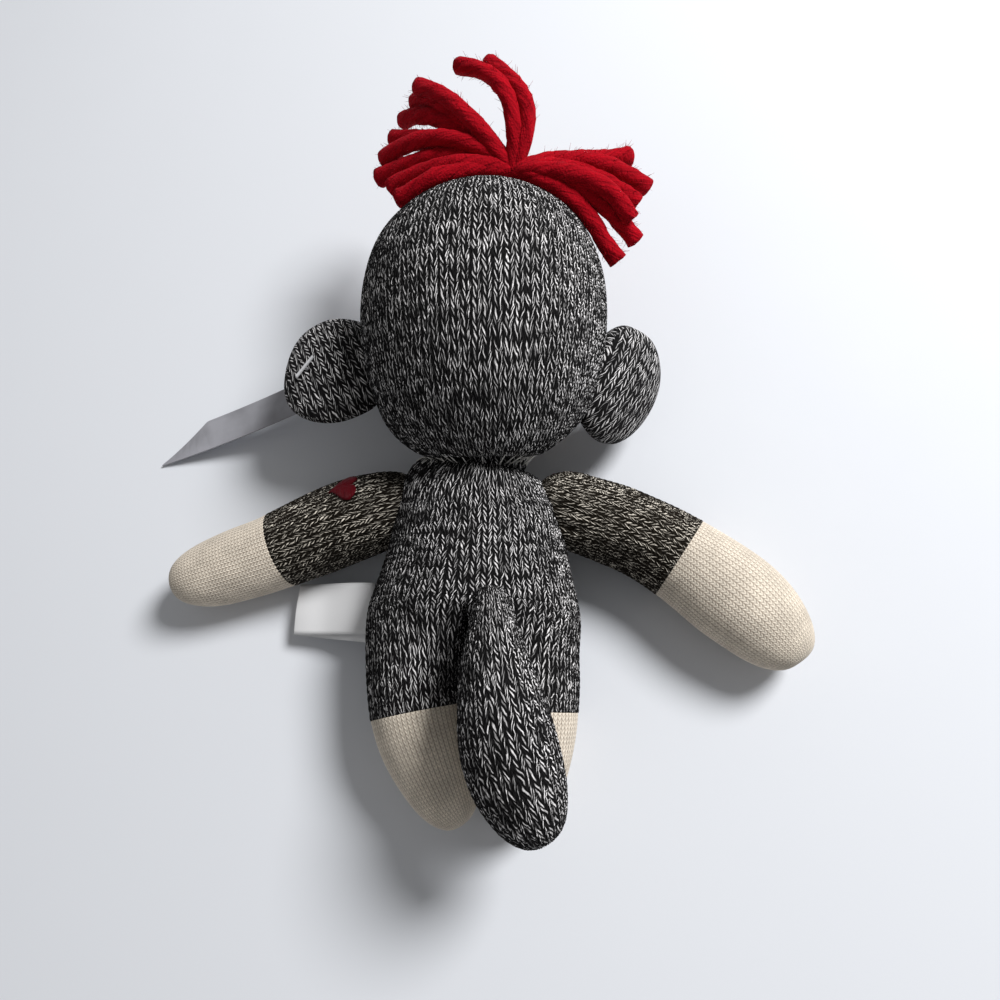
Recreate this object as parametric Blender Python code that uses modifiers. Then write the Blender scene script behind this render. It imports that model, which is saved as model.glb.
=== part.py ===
"""A small sock monkey doll, lying face down.

Metres, +Z up. The doll lies on the plane Z = 0 with its head towards +Y, and the origin is
under the middle of its belly. The doll's left side is at -X.

Each stuffed form is a bent tube of elliptical rings under a Subdivision Surface: a knitted
cover, which is a thin shell, and the stuffing inside it. Limbs start with a ball that turns
in a round seat cut out of the larger form. A limb's own frame sits on its joint, with +X
along the limb and +Z away from the floor.
"""

import math

import bmesh
import bpy
from mathutils import Matrix, Vector

# General
KNIT = 0.0015               # thickness of every knitted cover
SLACK = 0.0014              # room between a cover and its stuffing
GAP = 0.0003                # room between neighbouring pieces
CUFF_GAP = 0.0010           # room between a limb's cover and its cream end
OVERRUN = 0.060             # how far a cutter runs past what it cuts
SIDES = 8                   # points in a ring of a form's cage
THIN_SIDES = 6              # the same for the arms and the tail
SMOOTHING = 1               # subdivision levels of every cage
SEAT_SEGMENTS = 16          # segments round a seat's cutter
ROOT_ANGLES = (60, 30, 0)   # where the rings of a rounded root lie, in degrees

# Places on the body and the head are shares of its length, width and depth, from the neck:
# along, aside and above

# Neck: the gathered knit and the thread wound round it
NECK_PLACE = Vector((0.0040, 0.0370, 0.0250))
NECK_RADIUS = 0.0140
NECK_THREAD_RADIUS = 0.0008
NECK_SEAT_RINGS = 11
THREAD_SEGMENTS = 24
THREAD_SIDES = 6

# Body: rows are along, aside, above, width and depth shares
BODY_LENGTH = 0.0590
BODY_WIDTH = 0.0660
BODY_DEPTH = 0.0385
BODY_HEADING = -95.5
BODY_SHARES = (
    (0.07, 0.0, 0.0, 0.45, 0.66),
    (0.18, 0.0, -0.05, 0.62, 0.84),
    (0.42, 0.0, -0.10, 0.80, 1.00),
    (0.72, 0.0, -0.105, 0.99, 1.02),
    (0.94, 0.0, -0.105, 0.96, 0.88),
    (1.00, 0.0, -0.105, 0.66, 0.52),
)

# Head
HEAD_LENGTH = 0.0900
HEAD_WIDTH = 0.0750
HEAD_DEPTH = 0.0640
HEAD_HEADING = 89.0
HEAD_SHARES = (
    (0.05, 0.0, 0.04, 0.42, 0.48),
    (0.13, 0.0, 0.06, 0.74, 0.72),
    (0.33, 0.0, 0.15, 0.99, 0.97),
    (0.57, 0.0, 0.185, 1.03, 1.04),
    (0.80, 0.0, 0.19, 0.93, 0.95),
    (0.96, 0.0, 0.19, 0.56, 0.58),
    (1.00, 0.0, 0.19, 0.24, 0.26),
)

# Muzzle: half sizes of an egg-shaped pad on the face, set in the head's frame
MUZZLE_LENGTH = 0.0300
MUZZLE_WIDTH = 0.0420
MUZZLE_DEPTH = 0.0260
MUZZLE_ALONG = 0.0290
FLOOR_PRESS = 0.0005        # how deep the floor presses a form flat
MUZZLE_SEGMENTS = 16
MUZZLE_RINGS = 8
MOUTH_THREAD_RADIUS = 0.0005
MOUTH_HALF_SWEEP = 52.0     # degrees to each side of the muzzle's middle
MOUTH_DROP = 36.0           # degrees from the muzzle's tip towards the chin
MOUTH_POINTS = 7

# Eyes: domed buttons with a shank through the cover and a washer inside
EYE_RADIUS = 0.0032
EYE_RISE = 0.0020           # height of the dome above the cover
EYE_SHANK_RADIUS = 0.0010
EYE_SHANK_LENGTH = 0.0060
EYE_SPACING = 0.0220
EYE_SEGMENTS = 16
EYE_RINGS = 8
SHANK_SEGMENTS = 12
EYE_ALONG = 0.0500
WASHER_RADIUS = 0.0038
WASHER_THICKNESS = 0.0008
WASHER_DROP = 0.0010        # from the cover's inside to the washer

# Ears: folded pads on the sides of the head
EAR_LENGTH = 0.0250
EAR_WIDTH = 0.0390
EAR_DEPTH = 0.0135
EAR_ROOT_WIDTH = 0.0310
EAR_SHARES = (
    (0.40, 0.0, 0.03, 1.06, 1.08),
    (0.86, 0.0, -0.03, 0.84, 0.88),
    (1.00, 0.0, -0.08, 0.40, 0.44),
)
LEFT_EAR_PLACE_SHARES = (0.4055, 0.5446, 0.0781)
LEFT_EAR_HEADING = 191.0
LEFT_EAR_PITCH = 0.0
RIGHT_EAR_PLACE_SHARES = (0.3635, -0.5418, 0.1328)
RIGHT_EAR_HEADING = -33.0
RIGHT_EAR_PITCH = -52.0

# Swing tag on its plastic fastener, through the left ear
FASTENER_ALONG = 0.0165     # from the ear's joint to the filament
FASTENER_ASIDE = 0.0010
FASTENER_LEAN = -0.0030      # how far the filament's lower end lies to the side
FASTENER_RADIUS = 0.0005
FASTENER_BAR_LENGTH = 0.0085
FASTENER_BAR_TURN = 56.0    # degrees between the bar and the +X axis
FASTENER_SIDES = 6
FASTENER_REST_SHARE = 0.08  # how far the bar lies above half the ear's depth
TAG_LENGTH = 0.0750
TAG_WIDTH = 0.0112
TAG_SLANT = 0.0210          # how far the slanted end runs back
TAG_THICKNESS = 0.0005
TAG_HOLE_RADIUS = 0.0014
TAG_HOLE_INSET = 0.0045
TAG_DROP = 0.0036           # from the ear's underside to the tag
TAG_HEADING = 191.5
TAG_PITCH = -15.8

# Yarn hair: rows are the end and the bend of a strand, as shares of its length
YARN_RADIUS = 0.0030
YARN_LENGTH = 0.0480
YARN_POINTS = 5
YARN_KNOT_RADIUS = 0.0055
YARN_KNOT_SEGMENTS = 16
YARN_KNOT_RINGS = 8
HAIR_ALONG = 0.0865
HAIR_ASIDE = -0.0100
HAIR_ABOVE = 0.0320
YARN_SHARES = (
    # left bundle
    (-0.68, 0.76, -0.10, -0.04, 0.05, 0.14),
    (-0.77, 0.66, -0.15, -0.02, 0.03, 0.16),
    (-0.84, 0.50, -0.15, -0.02, 0.04, 0.10),
    (-0.89, 0.33, -0.15, -0.02, 0.06, 0.16),
    (-0.93, 0.21, -0.19, -0.02, 0.06, 0.10),
    (-0.82, 0.04, -0.10, 0.00, 0.08, 0.14),
    (-0.74, -0.12, -0.02, 0.00, 0.12, 0.10),
    # arched and upright strands
    (-0.59, 0.73, 0.08, 0.08, 0.08, 0.22),
    (-0.30, 0.73, 0.19, 0.14, 0.02, 0.18),
    (-0.13, 0.71, 0.19, 0.16, 0.02, 0.14),
    # right bundle
    (0.74, 0.19, -0.15, 0.00, 0.03, 0.12),
    (0.86, -0.01, -0.22, 0.00, 0.06, 0.14),
    (0.79, -0.15, -0.20, 0.02, 0.08, 0.12),
    (0.73, -0.33, -0.12, 0.04, 0.08, 0.16),
    (0.77, -0.38, -0.27, 0.06, 0.10, 0.12),
    (0.65, -0.53, -0.27, 0.08, 0.10, 0.10),
)

# Arms: the first numbers of a row count from the shoulder, along the arm
ARM_WIDTH = 0.0245
ARM_DEPTH = 0.0235
ARM_ROOT = 0.0119           # radius of the ball at the shoulder
ARM_DROP = 44.0             # how far below level an arm swings to the body's side, in degrees
ARMPIT_LENGTH = 0.0400      # length of the hollow that the arm then lies in
KNOT_RADIUS = 0.0020        # closing knot at the middle of a ball
LEFT_ARM_PLACE_SHARES = (0.1930, -0.4476, -0.1429)
LEFT_ARM_HEADING = 194.0
LEFT_ARM_LENGTH = 0.0770
LEFT_ARM_SHARES = (
    (0.25, -0.005, -0.055, 1.08, 1.04),
    (0.51, 0.015, -0.101, 1.00, 1.00),
    (0.78, 0.03, -0.106, 1.00, 1.00),
    (0.95, 0.035, -0.106, 0.70, 0.74),
    (1.00, 0.035, -0.106, 0.34, 0.36),
)
LEFT_CUFF_ROW = 1
RIGHT_ARM_PLACE_SHARES = (0.1431, 0.3792, -0.1506)
RIGHT_ARM_HEADING = -22.0
RIGHT_ARM_LENGTH = 0.0788
RIGHT_ARM_SHARES = (
    (0.24, 0.03, -0.055, 1.02, 1.00),
    (0.47, 0.0, -0.090, 1.07, 1.02),
    (0.75, -0.09, -0.085, 1.27, 1.12),
    (0.94, -0.19, -0.090, 0.88, 0.84),
    (1.00, -0.23, -0.090, 0.42, 0.42),
)
RIGHT_CUFF_ROW = 1

# Heart-shaped patch on the left upper arm
HEART_SIZE = 0.0088
HEART_SWEEP = 16            # the curve that draws the heart: its half width,
HEART_WAVES = (13, -5, -2, -1)  # and the waves that make its lobes and point
HEART_SPAN = 32             # units across that curve
HEART_THICKNESS = 0.0007
HEART_ALONG = 0.0135
HEART_ROUND = 36.0          # degrees round the arm from its top, towards the head
HEART_TURN = 190.0
HEART_POINTS = 18

# Legs
HIP_MIDDLE_SHARES = (0.9695, 0.0104, -0.2286)
HIP_SPACING_SHARE = 1.079      # of a leg's width
LEG_LENGTH = 0.0440
LEG_WIDTH = 0.0304
LEG_DEPTH = 0.0310
LEFT_LEG_SHARES = (
    (0.31, 0.01, -0.01, 0.96, 0.94),
    (0.60, 0.11, -0.045, 0.87, 0.84),
    (0.88, 0.23, -0.10, 0.64, 0.60),
    (1.00, 0.31, -0.14, 0.30, 0.28),
)
RIGHT_LEG_SHARES = (
    (0.31, 0.0, -0.01, 0.97, 0.94),
    (0.60, -0.02, -0.045, 0.88, 0.84),
    (0.88, -0.06, -0.10, 0.66, 0.60),
    (1.00, -0.09, -0.14, 0.32, 0.28),
)
LEG_CUFF_ROW = 0
LEG_FLEX = 80.0             # how far a leg folds towards the belly, in degrees

# Tail
TAIL_PLACE_SHARES = (0.7358, 0.1242, 0.4416)
TAIL_HEADING = -80.0
TAIL_LENGTH = 0.0600
TAIL_WIDTH = 0.0245
TAIL_DEPTH = 0.0235
TAIL_ROOT = 0.0050          # radius of the ball at the tail's root
TAIL_SHARES = (
    (0.20, -0.02, 0.04, 0.64, 0.62),
    (0.50, -0.04, 0.05, 0.99, 0.97),
    (0.78, -0.02, 0.0, 1.03, 0.98),
    (0.95, 0.02, -0.085, 0.70, 0.68),
    (1.00, 0.035, -0.115, 0.34, 0.34),
)

# Care label, a folded satin ribbon in the left side seam
LABEL_PLACE_SHARES = (0.7155, -0.5092, -0.3688)
LABEL_LENGTH = 0.0270
LABEL_WIDTH = 0.0165
LABEL_THICKNESS = 0.0003
LABEL_FOLD_RADIUS = 0.0005
LABEL_HEADING = 177.0
LABEL_PITCH = -12.0
LABEL_FOLD_STEPS = 5
LABEL_SKEW = 0.0025         # how far the lower leaf lies off the upper one

COLOURS = {
    "marled": (0.075, 0.068, 0.064, 1.0),
    "cream": (0.62, 0.53, 0.43, 1.0),
    "stuffing": (0.85, 0.84, 0.82, 1.0),
    "thread": (0.78, 0.75, 0.70, 1.0),
    "red_yarn": (0.42, 0.005, 0.016, 1.0),
    "red_felt": (0.20, 0.004, 0.012, 1.0),
    "satin": (0.80, 0.80, 0.80, 1.0),
    "card": (0.52, 0.53, 0.56, 1.0),
    "clear_plastic": (0.72, 0.74, 0.76, 1.0),
    "black_plastic": (0.012, 0.012, 0.012, 1.0),
}
ROUGHNESS = {"satin": 0.35, "card": 0.45, "clear_plastic": 0.25, "black_plastic": 0.15}
CLOTH_ROUGHNESS = 0.9
SHARP_ANGLE = math.radians(40)
UP = Vector((0, 0, 1))


# Scene, collections and materials

for old in list(bpy.data.objects):
    bpy.data.objects.remove(old, do_unlink=True)
doll = bpy.data.collections.new("sock_monkey_doll")
cutters = bpy.data.collections.new("cutters")
for group in (doll, cutters):
    bpy.context.scene.collection.children.link(group)


def finish(name):
    """The material of one finish, made once."""
    material = bpy.data.materials.get(name)
    if material is None:
        material = bpy.data.materials.new(name)
        material.use_nodes = True
        shader = material.node_tree.nodes["Principled BSDF"]
        shader.inputs["Base Color"].default_value = COLOURS[name]
        shader.inputs["Roughness"].default_value = ROUGHNESS.get(name, CLOTH_ROUGHNESS)
        shader.inputs["Metallic"].default_value = 0
        material.diffuse_color = COLOURS[name]
    return material


# Frames

def place_on(heading, size, shares):
    """A joint's place on the body or the head, from its shares."""
    turn = Matrix.Rotation(math.radians(heading), 3, "Z")
    return NECK_PLACE + turn @ Vector(s * length for s, length in zip(shares, size))


def on_body(shares):
    return place_on(BODY_HEADING, (BODY_LENGTH, BODY_WIDTH, BODY_DEPTH), shares)


def on_head(shares):
    return place_on(HEAD_HEADING, (HEAD_LENGTH, HEAD_WIDTH, HEAD_DEPTH), shares)


def joint_frame(name, place, heading=0.0, pitch=0.0):
    """An empty on a joint, its +X along the limb and its +Z away from the floor."""
    empty = bpy.data.objects.new(name, None)
    empty.location = place
    empty.rotation_euler = (0, math.radians(-pitch), math.radians(heading))
    doll.objects.link(empty)
    return empty


def piece(name, mesh, frame, material):
    """A piece of the doll, in the frame of its joint."""
    thing = bpy.data.objects.new(name, mesh)
    thing.parent = frame
    thing.data.materials.append(finish(material))
    thing.data.shade_smooth()
    thing.data.set_sharp_from_angle(angle=SHARP_ANGLE)
    doll.objects.link(thing)
    return thing


def cutter(name, mesh, frame, matrix=None):
    """A shape that only cuts others."""
    thing = bpy.data.objects.new(name, mesh)
    thing.parent = frame
    if matrix is not None:
        thing.matrix_local = matrix
    thing.hide_render = True
    thing.display_type = "WIRE"
    cutters.objects.link(thing)
    return thing


# Plain shapes

def mesh_from(bm, name):
    """A mesh from a bmesh, its faces turned outwards."""
    bmesh.ops.recalc_face_normals(bm, faces=bm.faces)
    mesh = bpy.data.meshes.new(name)
    bm.to_mesh(mesh)
    bm.free()
    return mesh


def ball_mesh(name, half_sizes, segments=SEAT_SEGMENTS, rings=None, centre=(0, 0, 0)):
    """A ball or an egg with the given half sizes."""
    bm = bmesh.new()
    matrix = Matrix.Translation(centre) @ Matrix.Diagonal((*half_sizes, 1))
    bmesh.ops.create_uvsphere(
        bm, u_segments=segments, v_segments=rings or segments // 2, radius=1, matrix=matrix)
    return mesh_from(bm, name)


def rod_mesh(name, radius, start, end, segments=SEAT_SEGMENTS):
    """A round rod from one point to another."""
    start, end = Vector(start), Vector(end)
    run = end - start
    turn = UP.rotation_difference(run).to_matrix().to_4x4()
    bm = bmesh.new()
    bmesh.ops.create_cone(
        bm, cap_ends=True, segments=segments, radius1=radius, radius2=radius,
        depth=run.length, matrix=Matrix.Translation((start + end) / 2) @ turn)
    return mesh_from(bm, name)


def block_mesh(name, low, high):
    """A box between two corners."""
    low, high = Vector(low), Vector(high)
    bm = bmesh.new()
    matrix = Matrix.Translation((low + high) / 2) @ Matrix.Diagonal((*(high - low), 1))
    bmesh.ops.create_cube(bm, size=1, matrix=matrix)
    return mesh_from(bm, name)


def seat_radius(radius, segments=SEAT_SEGMENTS):
    """The radius of a faceted cutter that clears a ball by the gap all round."""
    return (radius + GAP) / math.cos(math.pi / segments) ** 2


# Modifiers

def subdivide(thing):
    soft = thing.modifiers.new("Soft", "SUBSURF")
    soft.levels = soft.render_levels = SMOOTHING


def boolean(thing, tool, operation="DIFFERENCE"):
    cut = thing.modifiers.new("Cut", "BOOLEAN")
    cut.object = tool
    cut.operation = operation
    cut.solver = "EXACT"


# Stuffed forms

def root_rows(half_length, half_width, half_depth):
    """Rings of a rounded root, behind the joint and at it."""
    spread = (2 + math.cos(math.radians(ROOT_ANGLES[0] - ROOT_ANGLES[1]))) / 3
    for angle in ROOT_ANGLES:
        a = math.radians(angle)
        grow = 1 / spread if 0 < angle < ROOT_ANGLES[0] else 1
        yield (
            Vector((-half_length * math.sin(a) * grow, 0, 0)),
            half_width * math.cos(a) * grow, half_depth * math.cos(a) * grow)


def share_rows(rows, length, width, depth):
    """Rings from a table of shares: along, aside, above, width and depth."""
    for along, aside, above, wide, deep in rows:
        yield (
            Vector((along * length, aside * length, above * length)),
            wide * width / 2, deep * depth / 2)


def settled(rows):
    """Rings of the soft surface itself, inside those of the cage, without the end ones."""
    rows = list(rows)
    for before, here, after in zip(rows, rows[1:], rows[2:]):
        yield tuple((b + 4 * h + a) / 6 for b, h, a in zip(before, here, after))


def ring_matrices(rows, sides, soft=True):
    """Where the cage's rings stand: square to the line through their centres."""
    rows = list(rows)
    swell = 3 / (2 + math.cos(2 * math.pi / sides)) if soft else 1
    centres = [row[0] for row in rows]
    found = []
    for i, (centre, half_width, half_depth) in enumerate(rows):
        before, after = centres[max(i - 1, 0)], centres[min(i + 1, len(rows) - 1)]
        along = (after - before).normalized()
        side = UP.cross(along).normalized()
        above = along.cross(side)
        matrix = Matrix((side * half_width * swell, above * half_depth * swell, along))
        matrix = matrix.transposed().to_4x4()
        matrix.translation = centre
        found.append(matrix)
    return found


def cage_mesh(name, matrices, sides, close_start=False, close_end=True):
    """A tube through the rings."""
    bm = bmesh.new()
    bmesh.ops.create_circle(bm, segments=sides, radius=1, matrix=matrices[0])
    edges = list(bm.edges)
    if close_start:
        bmesh.ops.edgeloop_fill(bm, edges=edges)
    for here, there in zip(matrices, matrices[1:]):
        made = bmesh.ops.extrude_edge_only(bm, edges=edges)["geom"]
        verts = [g for g in made if isinstance(g, bmesh.types.BMVert)]
        edges = [g for g in made if isinstance(g, bmesh.types.BMEdge)
                 and all(v in verts for v in g.verts)]
        bmesh.ops.transform(bm, matrix=there @ here.inverted(), verts=verts)
    if close_end:
        bmesh.ops.edgeloop_fill(bm, edges=edges)
    return mesh_from(bm, name)


def slid(matrix, distance):
    """The ring moved along the tube."""
    along = matrix.col[2].to_3d().normalized()
    return Matrix.Translation(along * distance) @ matrix


def cover(name, frame, matrices, sides, material, close_end=True):
    """A knitted cover: the open cage made soft, with its wall inside."""
    thing = piece(name, cage_mesh(name, matrices, sides, False, close_end), frame, material)
    subdivide(thing)
    wall = thing.modifiers.new("Wall", "SOLIDIFY")
    wall.thickness = KNIT
    wall.offset = -1
    wall.use_even_offset = True
    return thing


def stuffing(name, frame, rows, sides):
    """The stuffing: the same form closed, drawn in by the cover's wall and the gap."""
    matrices = ring_matrices(settled(rows), sides, soft=False)
    thing = piece(name, cage_mesh(name, matrices, sides, True, True), frame, "stuffing")
    shrink(thing, KNIT + SLACK)
    return thing


def shrink(thing, distance):
    draw_in = thing.modifiers.new("Inside", "DISPLACE")
    draw_in.strength = -distance
    draw_in.mid_level = 0


def floor_cut(thing):
    """Cuts the form flat where the floor presses it."""
    boolean(thing, floor)


floor = cutter(
    "floor", block_mesh("floor", (-OVERRUN * 3, -OVERRUN * 3, -OVERRUN),
                        (OVERRUN * 3, OVERRUN * 4, 0)), None)


# Neck

def ring_mesh(name, radius):
    """A round ring about the neck's axis."""
    bpy.ops.mesh.primitive_torus_add(
        major_segments=THREAD_SEGMENTS, minor_segments=THREAD_SIDES,
        major_radius=NECK_RADIUS - NECK_THREAD_RADIUS, minor_radius=radius)
    made = bpy.context.object
    mesh = made.data
    mesh.name = name
    mesh.transform(Matrix.Rotation(math.pi / 2, 4, "Y"))
    bpy.data.objects.remove(made)
    return mesh


def make_neck():
    """The gathered neck, and the thread that lies in a groove round it."""
    frame = joint_frame("neck_joint", NECK_PLACE, HEAD_HEADING)
    half = (NECK_RADIUS,) * 3
    gather = piece("neck_gather", ball_mesh("neck_gather", half, THREAD_SEGMENTS), frame, "marled")
    groove = ring_mesh("groove", NECK_THREAD_RADIUS + 2 * GAP)
    boolean(gather, cutter("groove", groove, frame))
    piece("neck_thread", ring_mesh("neck_thread", NECK_THREAD_RADIUS), frame, "thread")
    seat = ball_mesh("neck_seat", (seat_radius(NECK_RADIUS, THREAD_SEGMENTS),) * 3,
                     THREAD_SEGMENTS, NECK_SEAT_RINGS)
    return cutter("neck_seat", seat, frame)


# Limbs

def make_limb(side, kind, end_kind, frame, rows, cuff, sides):
    """A knitted limb with its cream end, and the stuffing through both."""
    matrices = ring_matrices(rows, sides)
    first = matrices[:cuff] + [slid(matrices[cuff], -CUFF_GAP / 2)]
    last = [slid(matrices[cuff], CUFF_GAP / 2)] + matrices[cuff + 1:]
    limb = cover(f"{side}_{kind}_cover", frame, first, sides, "marled", close_end=False)
    tip = cover(f"{side}_{end_kind}_cover", frame, last, sides, "cream")
    fill = stuffing(f"{side}_{kind}_stuffing", frame, rows, sides)
    floor_cut(limb)
    floor_cut(tip)
    return fill


def make_knot(name, frame, fill, root_radius):
    """The knot that closes a limb's root, in a well in its stuffing."""
    half = (KNOT_RADIUS,) * 3
    piece(name, ball_mesh(name, half, SIDES, THIN_SIDES), frame, "thread")
    reach = KNOT_RADIUS + GAP
    well = rod_mesh(f"{name}_well", reach, (-root_radius * 2, 0, 0), (reach, 0, 0), SIDES)
    boolean(fill, cutter(f"{name}_well", well, frame))


def make_arm(side, place_shares, heading, length, shares, cuff_row):
    """One arm: its cover, hand, stuffing and knot, and the seat that it turns in."""
    frame = joint_frame(f"{side}_shoulder_joint", on_body(place_shares), heading)
    rows = [*root_rows(ARM_ROOT, ARM_ROOT, ARM_ROOT),
            *share_rows(shares, length, ARM_WIDTH, ARM_DEPTH)]
    cuff = len(ROOT_ANGLES) + cuff_row
    fill = make_limb(side, "arm", "hand", frame, rows, cuff, THIN_SIDES)
    if side == "left":
        whole = cage_mesh("heart_bed", ring_matrices(rows, THIN_SIDES), THIN_SIDES, True, True)
        make_heart(frame, whole)
    make_knot(f"{side}_shoulder_knot", frame, fill, ARM_ROOT)
    seat = ball_mesh(f"{side}_arm_seat", (seat_radius(ARM_ROOT),) * 3)
    hanging = 180 + ARM_DROP if side == "left" else -ARM_DROP
    down = math.radians(hanging - heading)
    along = Vector((math.cos(down), math.sin(down), 0)) * ARMPIT_LENGTH
    hollow = rod_mesh(f"{side}_armpit", seat_radius(ARM_WIDTH / 2), (0, 0, 0), along)
    return [cutter(f"{side}_arm_seat", seat, frame), cutter(f"{side}_armpit", hollow, frame)]


def make_leg(side, sign, shares):
    """One leg, straight at rest."""
    spread = LEG_WIDTH * HIP_SPACING_SHARE / 2
    place = on_body(HIP_MIDDLE_SHARES) + Vector((sign * spread, 0, 0))
    frame = joint_frame(f"{side}_hip_joint", place, -90)
    rows = [*root_rows(LEG_DEPTH / 2, LEG_WIDTH / 2, LEG_DEPTH / 2),
            *share_rows(shares, LEG_LENGTH, LEG_WIDTH, LEG_DEPTH)]
    make_limb(side, "leg", "foot", frame, rows, len(ROOT_ANGLES) + LEG_CUFF_ROW, SIDES)


def lap_cutters():
    """What clears the legs between straight and folded: a trough and two blocks."""
    frame = joint_frame("lap", on_body(HIP_MIDDLE_SHARES))
    reach = LEG_DEPTH / 2 + GAP
    trough = rod_mesh("trough", seat_radius(LEG_DEPTH / 2), (-OVERRUN, 0, 0), (OVERRUN, 0, 0))
    behind = block_mesh("behind", (-OVERRUN, -OVERRUN, -OVERRUN), (OVERRUN, 0, reach))
    below = block_mesh("below", (-OVERRUN, -OVERRUN, -reach), (OVERRUN, 0, reach))
    turn = Matrix.Rotation(math.radians(LEG_FLEX), 4, "X")
    return [cutter("trough", trough, frame), cutter("behind", behind, frame),
            cutter("below", below, frame, turn)]


def make_tail():
    """The tail, with its stuffing and knot, and the seat that it turns in."""
    frame = joint_frame("tail_joint", on_body(TAIL_PLACE_SHARES), TAIL_HEADING)
    rows = [*root_rows(TAIL_ROOT, TAIL_ROOT, TAIL_ROOT),
            *share_rows(TAIL_SHARES, TAIL_LENGTH, TAIL_WIDTH, TAIL_DEPTH)]
    cover("tail_cover", frame, ring_matrices(rows, THIN_SIDES), THIN_SIDES, "marled")
    fill = stuffing("tail_stuffing", frame, rows, THIN_SIDES)
    make_knot("tail_knot", frame, fill, TAIL_ROOT)
    seat = ball_mesh("tail_seat", (seat_radius(TAIL_ROOT),) * 3)
    return cutter("tail_seat", seat, frame)


# Body

def make_body(seats):
    """The torso's cover and stuffing, with the seats of the neck, limbs and tail cut out."""
    frame = joint_frame("body", NECK_PLACE, BODY_HEADING)
    rows = list(share_rows(BODY_SHARES, BODY_LENGTH, BODY_WIDTH, BODY_DEPTH))
    shell = cover("body_cover", frame, ring_matrices(rows, SIDES), SIDES, "marled")
    fill = stuffing("body_stuffing", frame, rows, SIDES)
    for thing in (shell, fill):
        for seat in seats:
            boolean(thing, seat)
    floor_cut(shell)


# Head

def skin(thing, start, direction):
    """Where a line meets the piece's surface, and which way the surface faces there."""
    solid = thing.evaluated_get(bpy.context.evaluated_depsgraph_get())
    found, place, normal, _ = solid.ray_cast(start, direction)
    if not found:
        raise ValueError(f"nothing of {thing.name} lies there")
    return place, normal


def make_eye(side, sign, frame, shell, fill):
    """One eye, its shank through the cover, and the washer that holds it."""
    foot, out = skin(shell, Vector((EYE_ALONG, sign * EYE_SPACING / 2, -OVERRUN)), UP)
    turn = UP.rotation_difference(out).to_matrix().to_4x4()
    seat = Matrix.Translation(foot) @ turn

    name = f"{side}_eye"
    dome = ball_mesh(
        name, (EYE_RADIUS, EYE_RADIUS, EYE_RISE), EYE_SEGMENTS, EYE_RINGS, (0, 0, GAP))
    eye = piece(name, dome, frame, "black_plastic")
    eye.matrix_local = seat
    flat = block_mesh(f"{name}_flat", (-EYE_RADIUS * 2, -EYE_RADIUS * 2, -EYE_RISE * 2),
                      (EYE_RADIUS * 2, EYE_RADIUS * 2, GAP))
    boolean(eye, cutter(f"{name}_flat", flat, frame, seat))
    shank = rod_mesh(f"{name}_shank", EYE_SHANK_RADIUS, (0, 0, -EYE_SHANK_LENGTH),
                     (0, 0, EYE_RISE / 2), SHANK_SEGMENTS)
    boolean(eye, cutter(f"{name}_shank", shank, frame, seat), "UNION")

    hole = rod_mesh(f"{name}_hole", EYE_SHANK_RADIUS + GAP, (0, 0, -EYE_SHANK_LENGTH - GAP),
                    (0, 0, EYE_RISE), SHANK_SEGMENTS)
    boolean(shell, cutter(f"{name}_hole", hole, frame, seat))
    top = -KNIT - WASHER_DROP
    ring = rod_mesh(
        f"{name}_washer", WASHER_RADIUS, (0, 0, top - WASHER_THICKNESS), (0, 0, top), EYE_SEGMENTS)
    washer = piece(f"{name}_washer", ring, frame, "black_plastic")
    washer.matrix_local = seat
    boolean(washer, cutter(f"{name}_bore", hole.copy(), frame, seat))
    pocket = rod_mesh(f"{name}_pocket", WASHER_RADIUS + GAP, (0, 0, -EYE_SHANK_LENGTH - 2 * GAP),
                      (0, 0, EYE_RISE), EYE_SEGMENTS)
    boolean(fill, cutter(f"{name}_pocket", pocket, frame, seat))


def make_muzzle(frame, head_space):
    """The cream pad on the face, its stuffing and the stitched mouth."""
    half = Vector((MUZZLE_LENGTH, MUZZLE_WIDTH, MUZZLE_DEPTH)) / 2
    centre = Vector((MUZZLE_ALONG, 0, half.z - FLOOR_PRESS - NECK_PLACE.z))

    def egg(name, draw_in):
        size = half - Vector((draw_in,) * 3)
        return ball_mesh(name, size, MUZZLE_SEGMENTS, MUZZLE_RINGS, centre)

    shell = piece("muzzle_cover", egg("muzzle_cover", 0), frame, "cream")
    boolean(shell, cutter("muzzle_inside", egg("muzzle_inside", KNIT), frame))
    fill = piece("muzzle_stuffing", egg("muzzle_stuffing", KNIT + GAP), frame, "stuffing")
    for thing in (shell, fill):
        boolean(thing, head_space)
    floor_cut(shell)

    points = []
    for i in range(MOUTH_POINTS):
        t = math.radians(MOUTH_HALF_SWEEP * (2 * i / (MOUTH_POINTS - 1) - 1))
        drop = math.radians(MOUTH_DROP)
        out = Vector((-math.sin(drop) * math.cos(t), math.sin(t), -math.cos(drop) * math.cos(t)))
        clear = MOUTH_THREAD_RADIUS + 2 * GAP
        points.append(centre + Vector(h * o for h, o in zip(half, out)) + out * clear)
    tube("mouth_stitching", [(p, MOUTH_THREAD_RADIUS) for p in points], frame, "red_yarn")


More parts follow.
